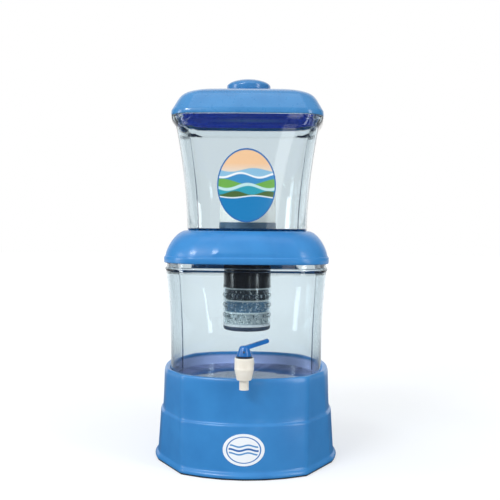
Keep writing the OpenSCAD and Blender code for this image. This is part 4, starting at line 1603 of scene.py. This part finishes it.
def random_turns(rng: np.random.Generator, count: int) -> np.ndarray:
    """Random rotation matrices, made from unit quaternions.

    Args:
        rng: source of the random draws.
        count: number of matrices.

    Returns:
        Matrices of shape (count, 3, 3).
    """
    q = rng.normal(size=(count, 4))
    w, x, y, z = (q / np.linalg.norm(q, axis=1, keepdims=True)).T
    rows = [
        1 - 2 * (y * y + z * z), 2 * (x * y - z * w), 2 * (x * z + y * w),
        2 * (x * y + z * w), 1 - 2 * (x * x + z * z), 2 * (y * z - x * w),
        2 * (x * z - y * w), 2 * (y * z + x * w), 1 - 2 * (x * x + y * y),
    ]
    return np.stack(rows, -1).reshape(count, 3, 3)


@dataclass
class Tap:
    """Lever tap: ivory body on a threaded shank, clamped through the tank's wall."""

    small: tuple[tuple[str, str, Finish, str, float], ...] = (
        ("tap_body", "tap_barrel", Finish.IVORY, "lower_tank", 0.4),
        ("tap_bonnet", "tap_bonnet_ring", Finish.DARK, "lower_tank", 0.25),
        ("tap_outer_washer", "outer_washer", Finish.RUBBER, "lower_tank", 0.25),
        ("tap_inner_washer", "inner_washer", Finish.RUBBER, "lower_tank", 0.25),
        ("tap_lock_nut", "shank_nut", Finish.IVORY, "lower_tank", 0.5),
        ("tap_swivel_washer", "swivel_ring", Finish.RUBBER, "tap_swivel", 0.15),
        ("tap_stem", "valve_stem", Finish.WHITE, "tap_stem", 0.15),
        ("tap_seat_cup", "valve_cup", Finish.SILICONE, "tap_stem", 0.15),
        ("lever_pin", "hinge_pin", Finish.STEEL, "tap_stem", 0.2),
        ("tap_lever", "lever", Finish.LEVER, "tap_lever", 0.5),
    )

    def build(self, shop: Workshop) -> None:
        """Builds the tap's pieces and dresses its spring.

        Args:
            shop: workshop that makes the pieces.
        """
        for row in self.small:
            shop.eased(*row)
        shop.dress("tap_spring", Finish.STEEL)


@dataclass
class Lid:
    """Pale blue lid with a domed top, a stepped inside, and a round knob screwed to it."""

    plan: Plan
    rise: float = 41.5
    flat_share: float = 0.99
    wall: float = 3.0
    ledge: float = 10.0
    taper: float = 0.19
    power: float = 7.3
    round_power: float = 0.54
    ceiling: float = 5.0
    screw: float = 3.3
    knob_r: float = 35.6
    knob_h: float = 21.9
    knob_dome: float = 12.0
    knob_gap: float = 0.05
    # rows inside the lid that are painted deep blue, as painted shade
    shaded_rows: tuple[int, int] = (2, 9)

    @property
    def flat(self) -> float:
        """Height of the flat under the knob."""
        return STACK.upper_top + self.rise * self.flat_share

    def at(self, t: float) -> Plan:
        """Returns the plan at a share of the rise: (1 - taper t)(1 - t^power)^round_power times the skirt."""
        return self.plan.scaled((1 - self.taper * t) * max(0.0, 1 - t**self.power) ** self.round_power)

    def rows(self) -> np.ndarray:
        """Lays out the lid: up inside over the step, through the screw's hole, down outside.

        Returns:
            The closed loop of rows.
        """
        low, seat, roof = STACK.lid, STACK.upper_top, STACK.upper_top + self.rise - self.ceiling
        skirt_in = self.plan.grown(-self.wall)
        steps = [(0, 0), (11.4, -0.8), (12.4, -1.6), (13, -5), (22, -11)]
        inside = [(low, skirt_in), (seat, skirt_in), *stepped(skirt_in.grown(-self.ledge), seat, steps)]
        inside += [(roof - 0.7 * self.ceiling, self.plan.scaled(0.7)), (roof, self.plan.scaled(0.58))]
        shares = np.concatenate([np.linspace(0.02, 0.72, 16), 1 - 0.28 * np.linspace(1, 0.12, 16)[1:] ** 1.5])
        outside = stepped(self.plan, low, [(0, -0.7), (0.3, -0.15), (1.0, 0)])
        outside += [(seat + self.rise * t, self.at(t)) for t in shares]
        inner, outer = loft_grid(inside), loft_grid(outside)
        hole = circles_in(inner[-1], [(self.screw, roof), (self.screw, self.flat)])
        return np.concatenate([inner, hole, outer[::-1]])

    def knob(self) -> Shape:
        """Makes the knob: a short drum with an eased foot and a domed top.

        Returns:
            The closed shape.
        """
        r, under = self.knob_r, self.flat + self.knob_gap
        spring = under + self.knob_h - self.knob_dome
        foot = [(0, under), (r - 3, under), (r - 0.6, under + 3.5), (r, spring)]
        dome = quarter_arc(r, spring, self.knob_dome, 22)[1:]
        return turned_shape(np.concatenate([eased_profile(foot, [1.5, 3.0]), dome]))

    def build(self, shop: Workshop) -> None:
        """Builds the lid, its knob and the screw.

        Args:
            shop: workshop that makes the pieces.
        """
        rows = self.rows()
        # the lid's inside is painted deep blue, as painted shade
        marks = {"inside": inside_marks(rows, slice(*self.shaded_rows))}
        mesh = Shape().grid(rows, loop=True).mesh("lid_shell", marks=marks)
        shop.piece("lid_shell", mesh, Finish.PALE_BLUE, "top_lid", ["top_lid"])
        shop.piece("knob", self.knob().mesh("knob", 40), Finish.PALE_BLUE, "top_lid", ["lid_knob"])
        shop.eased("knob_screw", "screw", Finish.STEEL, "top_lid", 0.25)


# ---------------------------------------------------------------------------
# Studio
# ---------------------------------------------------------------------------


@dataclass(frozen=True)
class Softbox:
    """A rectangular lamp that looks at a point. Its place, its aim and its size are metres."""

    name: str
    place: Point
    look: Point
    size: tuple[float, float]
    watts: float

    def hang(self) -> None:
        """Puts the lamp into the scene."""
        lamp = bpy.data.lights.new(self.name, "AREA")
        lamp.shape = "RECTANGLE"
        lamp.size, lamp.size_y = self.size
        lamp.energy = self.watts
        obj = bpy.data.objects.new(self.name, lamp)
        bpy.context.scene.collection.objects.link(obj)
        aim = Vector(self.look) - Vector(self.place)
        obj.matrix_world = Matrix.Translation(self.place) @ aim.to_track_quat("-Z", "Y").to_matrix().to_4x4()


def sight(tree: Tree) -> tuple[Any, Any]:
    """Tells apart the rays that meet the studio.

    Args:
        tree: node tree that gets the nodes.

    Returns:
        Two outputs of 0 or 1: whether a ray comes straight from the viewer or only through clear walls, and
        whether it was mirrored on its way but never scattered.
    """
    path = add_node(tree, "LightPath")
    unscattered = add_node(tree, "Math", {0: path["Diffuse Depth"], 1: 0.5}, operation="LESS_THAN")[0]
    straight = add_node(tree, "Math", {0: path["Glossy Depth"], 1: 0.5}, operation="LESS_THAN")[0]
    ways = {0: path["Is Camera Ray"], 1: path["Is Transmission Ray"]}
    seen = add_node(tree, "Math", ways, operation="MAXIMUM")[0]
    for other in (unscattered, straight):
        seen = add_node(tree, "Math", {0: seen, 1: other}, operation="MULTIPLY")[0]
    mirrored = add_node(tree, "Math", {0: path["Glossy Depth"], 1: 0.5}, operation="GREATER_THAN")[0]
    mirrored = add_node(tree, "Math", {0: path["Is Glossy Ray"], 1: mirrored}, operation="MAXIMUM")[0]
    return seen, add_node(tree, "Math", {0: mirrored, 1: unscattered}, operation="MULTIPLY")[0]


@dataclass(frozen=True)
class MattFloor(Recipe):
    """Matt white paint that glows a little for the viewer, so that the floor meets the white behind it."""

    tone: str = "B4B8BC"
    dim: str = "5A5E64"
    roughness: float = 0.4
    glow: tuple[float, float] = (0.5, 0.8)
    glow_m: tuple[float, float] = (0.3, 2.4)
    back_m: tuple[float, float] = (0.2, 1.4)

    def surface(self, tree: Tree, place: Any) -> Any:
        """Makes the paint: it looks darker in mirrored views, but for the floor far behind.

        Args:
            tree: node tree of the material.
            place: object coordinates.

        Returns:
            The shader.
        """
        seen, mirrored = sight(tree)
        depth = add_node(tree, "SeparateXYZ", {0: place})["Y"]
        back = add_node(
            tree, "MapRange", {"Value": depth, "From Min": self.back_m[0], "From Max": self.back_m[1]},
            interpolation_type="SMOOTHSTEP",
        )["Result"]
        shine = add_node(tree, "Math", {0: mirrored, 1: back}, operation="MULTIPLY")[0]
        shown = add_node(tree, "Math", {0: seen, 1: shine}, operation="MAXIMUM")[0]
        dimmed = add_node(tree, "Math", {0: mirrored, 1: shine}, operation="SUBTRACT")[0]
        tone = add_node(tree, "Mix", {0: dimmed, 6: self.tone, 7: self.dim}, data_type="RGBA")[2]
        matt = add_node(tree, "BsdfDiffuse", {"Roughness": self.roughness, "Color": tone})[0]
        far = add_node(tree, "VectorMath", {0: place}, operation="LENGTH")["Value"]
        span = dict(zip(("From Min", "From Max", "To Min", "To Max"), (*self.glow_m, *self.glow)))
        glow = add_node(tree, "MapRange", {"Value": far, **span})["Result"]
        strength = add_node(tree, "Math", {0: shown, 1: glow}, operation="MULTIPLY")[0]
        light = add_node(tree, "Emission", {"Color": "FFFFFF", "Strength": strength})[0]
        return add_node(tree, "AddShader", {0: matt, 1: light})[0]


@dataclass
class Studio:
    """White floor, white surroundings, soft lamps and the camera."""

    focal_px: float = 795.0
    frame_px: float = 500.0
    sensor: float = 36.0
    distance: float = 1302.5
    height: float = 376.22
    offset: float = 4.2447
    yaw: float = -0.0186
    tilt: float = -0.0321
    roll: float = 0.0086
    floor_z: float = -0.6
    floor_rings: tuple[float, ...] = (9000, 4000, 1500, 400)
    floor_paint: MattFloor = MattFloor("matt white floor")
    ambient: tuple[float, float] = (0.68, 0.66)
    mirrored: tuple[float, float] = (0.04, 0.45)
    boxes: tuple[Softbox, ...] = (
        Softbox("key softbox", (-1.05, -1.45, 1.5), (0, 0, 0.3), (0.9, 0.3), 19.5),
        Softbox("left softbox", (-1.9, -0.5, 0.7), (0, 0, 0.25), (0.5, 1.2), 9),
        Softbox("right softbox", (1.5, -1.2, 0.85), (0, 0, 0.5), (0.4, 1.6), 11.5),
        Softbox("low strip", (0.36, -1.5, 0.28), (0, 0, 0.4), (0.16, 0.5), 0.4),
        Softbox("top softbox", (0.0, -0.3, 2.1), (0, 0, 0.3), (1.3, 1.0), 3.4),
    )

    def camera(self) -> None:
        """Sets the camera: at the given distance and height, turned, tilted and rolled a little."""
        data = bpy.data.cameras.new("camera")
        data.sensor_fit = "HORIZONTAL"
        data.sensor_width = self.sensor
        data.lens = self.focal_px / self.frame_px * self.sensor
        data.clip_start, data.clip_end = 0.05, 50
        cy, sy = math.cos(self.yaw), math.sin(self.yaw)
        right = Vector((cy, -sy, 0))
        ahead = Vector((sy * math.cos(self.tilt), cy * math.cos(self.tilt), math.sin(self.tilt)))
        place = (right * self.offset - Vector((sy, cy, 0)) * self.distance + Vector((0, 0, self.height))) * MM
        up = right.cross(ahead)
        c, s = math.cos(self.roll), math.sin(self.roll)
        turn = Matrix((right * c + up * s, up * c - right * s, -ahead)).transposed().to_4x4()
        obj = bpy.data.objects.new("camera", data)
        bpy.context.scene.collection.objects.link(obj)
        obj.matrix_world = Matrix.Translation(place) @ turn
        bpy.context.scene.camera = obj

    def floor(self) -> None:
        """Lays a round white floor just under the origin."""
        rows = turned_rows([(radius, self.floor_z) for radius in self.floor_rings], even_angles(64))
        mesh = Shape().grid(rows, last=(0, 0, self.floor_z)).mesh("floor")
        if mesh.polygons[0].normal.z < 0:
            mesh.flip_normals()
        obj = bpy.data.objects.new("floor", mesh)
        bpy.context.scene.collection.objects.link(obj)
        mesh.materials.append(self.floor_paint.make())

    def world(self) -> None:
        """Surrounds the scene with white for sight, and with soft light that grows towards the ceiling."""
        world = bpy.data.worlds.new("studio")
        bpy.context.scene.world = world
        world.use_nodes = True
        tree = world.node_tree
        tree.nodes.clear()
        _, ahead, up = add_node(tree, "SeparateXYZ", {0: add_node(tree, "TexCoord")["Generated"]})
        spans = ((ahead, 0.5, 0.85, (0.0, 1.0)), (up, -0.1, 0.95, self.ambient), (up, 0.3, 0.95, self.mirrored))
        back, soft, shine = (
            add_node(
                tree, "MapRange",
                {"Value": value, "From Min": start, "From Max": end, "To Min": low, "To Max": high},
                interpolation_type="SMOOTHSTEP",
            )["Result"]
            for value, start, end, (low, high) in spans
        )
        seen, mirrored = sight(tree)
        shine = add_node(tree, "Mix", {0: back, 2: shine, 3: 1.0}, data_type="FLOAT")[0]
        level = add_node(tree, "Mix", {0: mirrored, 2: soft, 3: shine}, data_type="FLOAT")[0]
        level = add_node(tree, "Mix", {0: seen, 2: level, 3: 1.0}, data_type="FLOAT")[0]
        shown = add_node(tree, "Background", {"Color": "FFFFFF", "Strength": level})[0]
        add_node(tree, "OutputWorld", {"Surface": shown})

    def build(self) -> None:
        """Sets up the studio."""
        self.camera()
        self.floor()
        self.world()
        for box in self.boxes:
            box.hang()
        bpy.context.scene.view_settings.view_transform = "Standard"


def main() -> None:
    """Builds the filter from the floor up, then the studio round it."""
    logging.basicConfig(level=logging.INFO, format="%(name)s: %(message)s")
    shop = Workshop()
    lower, upper = LowerTank(), UpperTank()
    cover = MiddleCover(lower.neck, upper.foot)
    for part in (Pedestal(lower), lower, Tap(), cover, upper, CeramicDome(), Cartridge(), Lid(upper.lid)):
        LOG.info("building %s", type(part).__name__)
        part.build(shop)
    Studio().build()


if __name__ == "__main__":
    main()
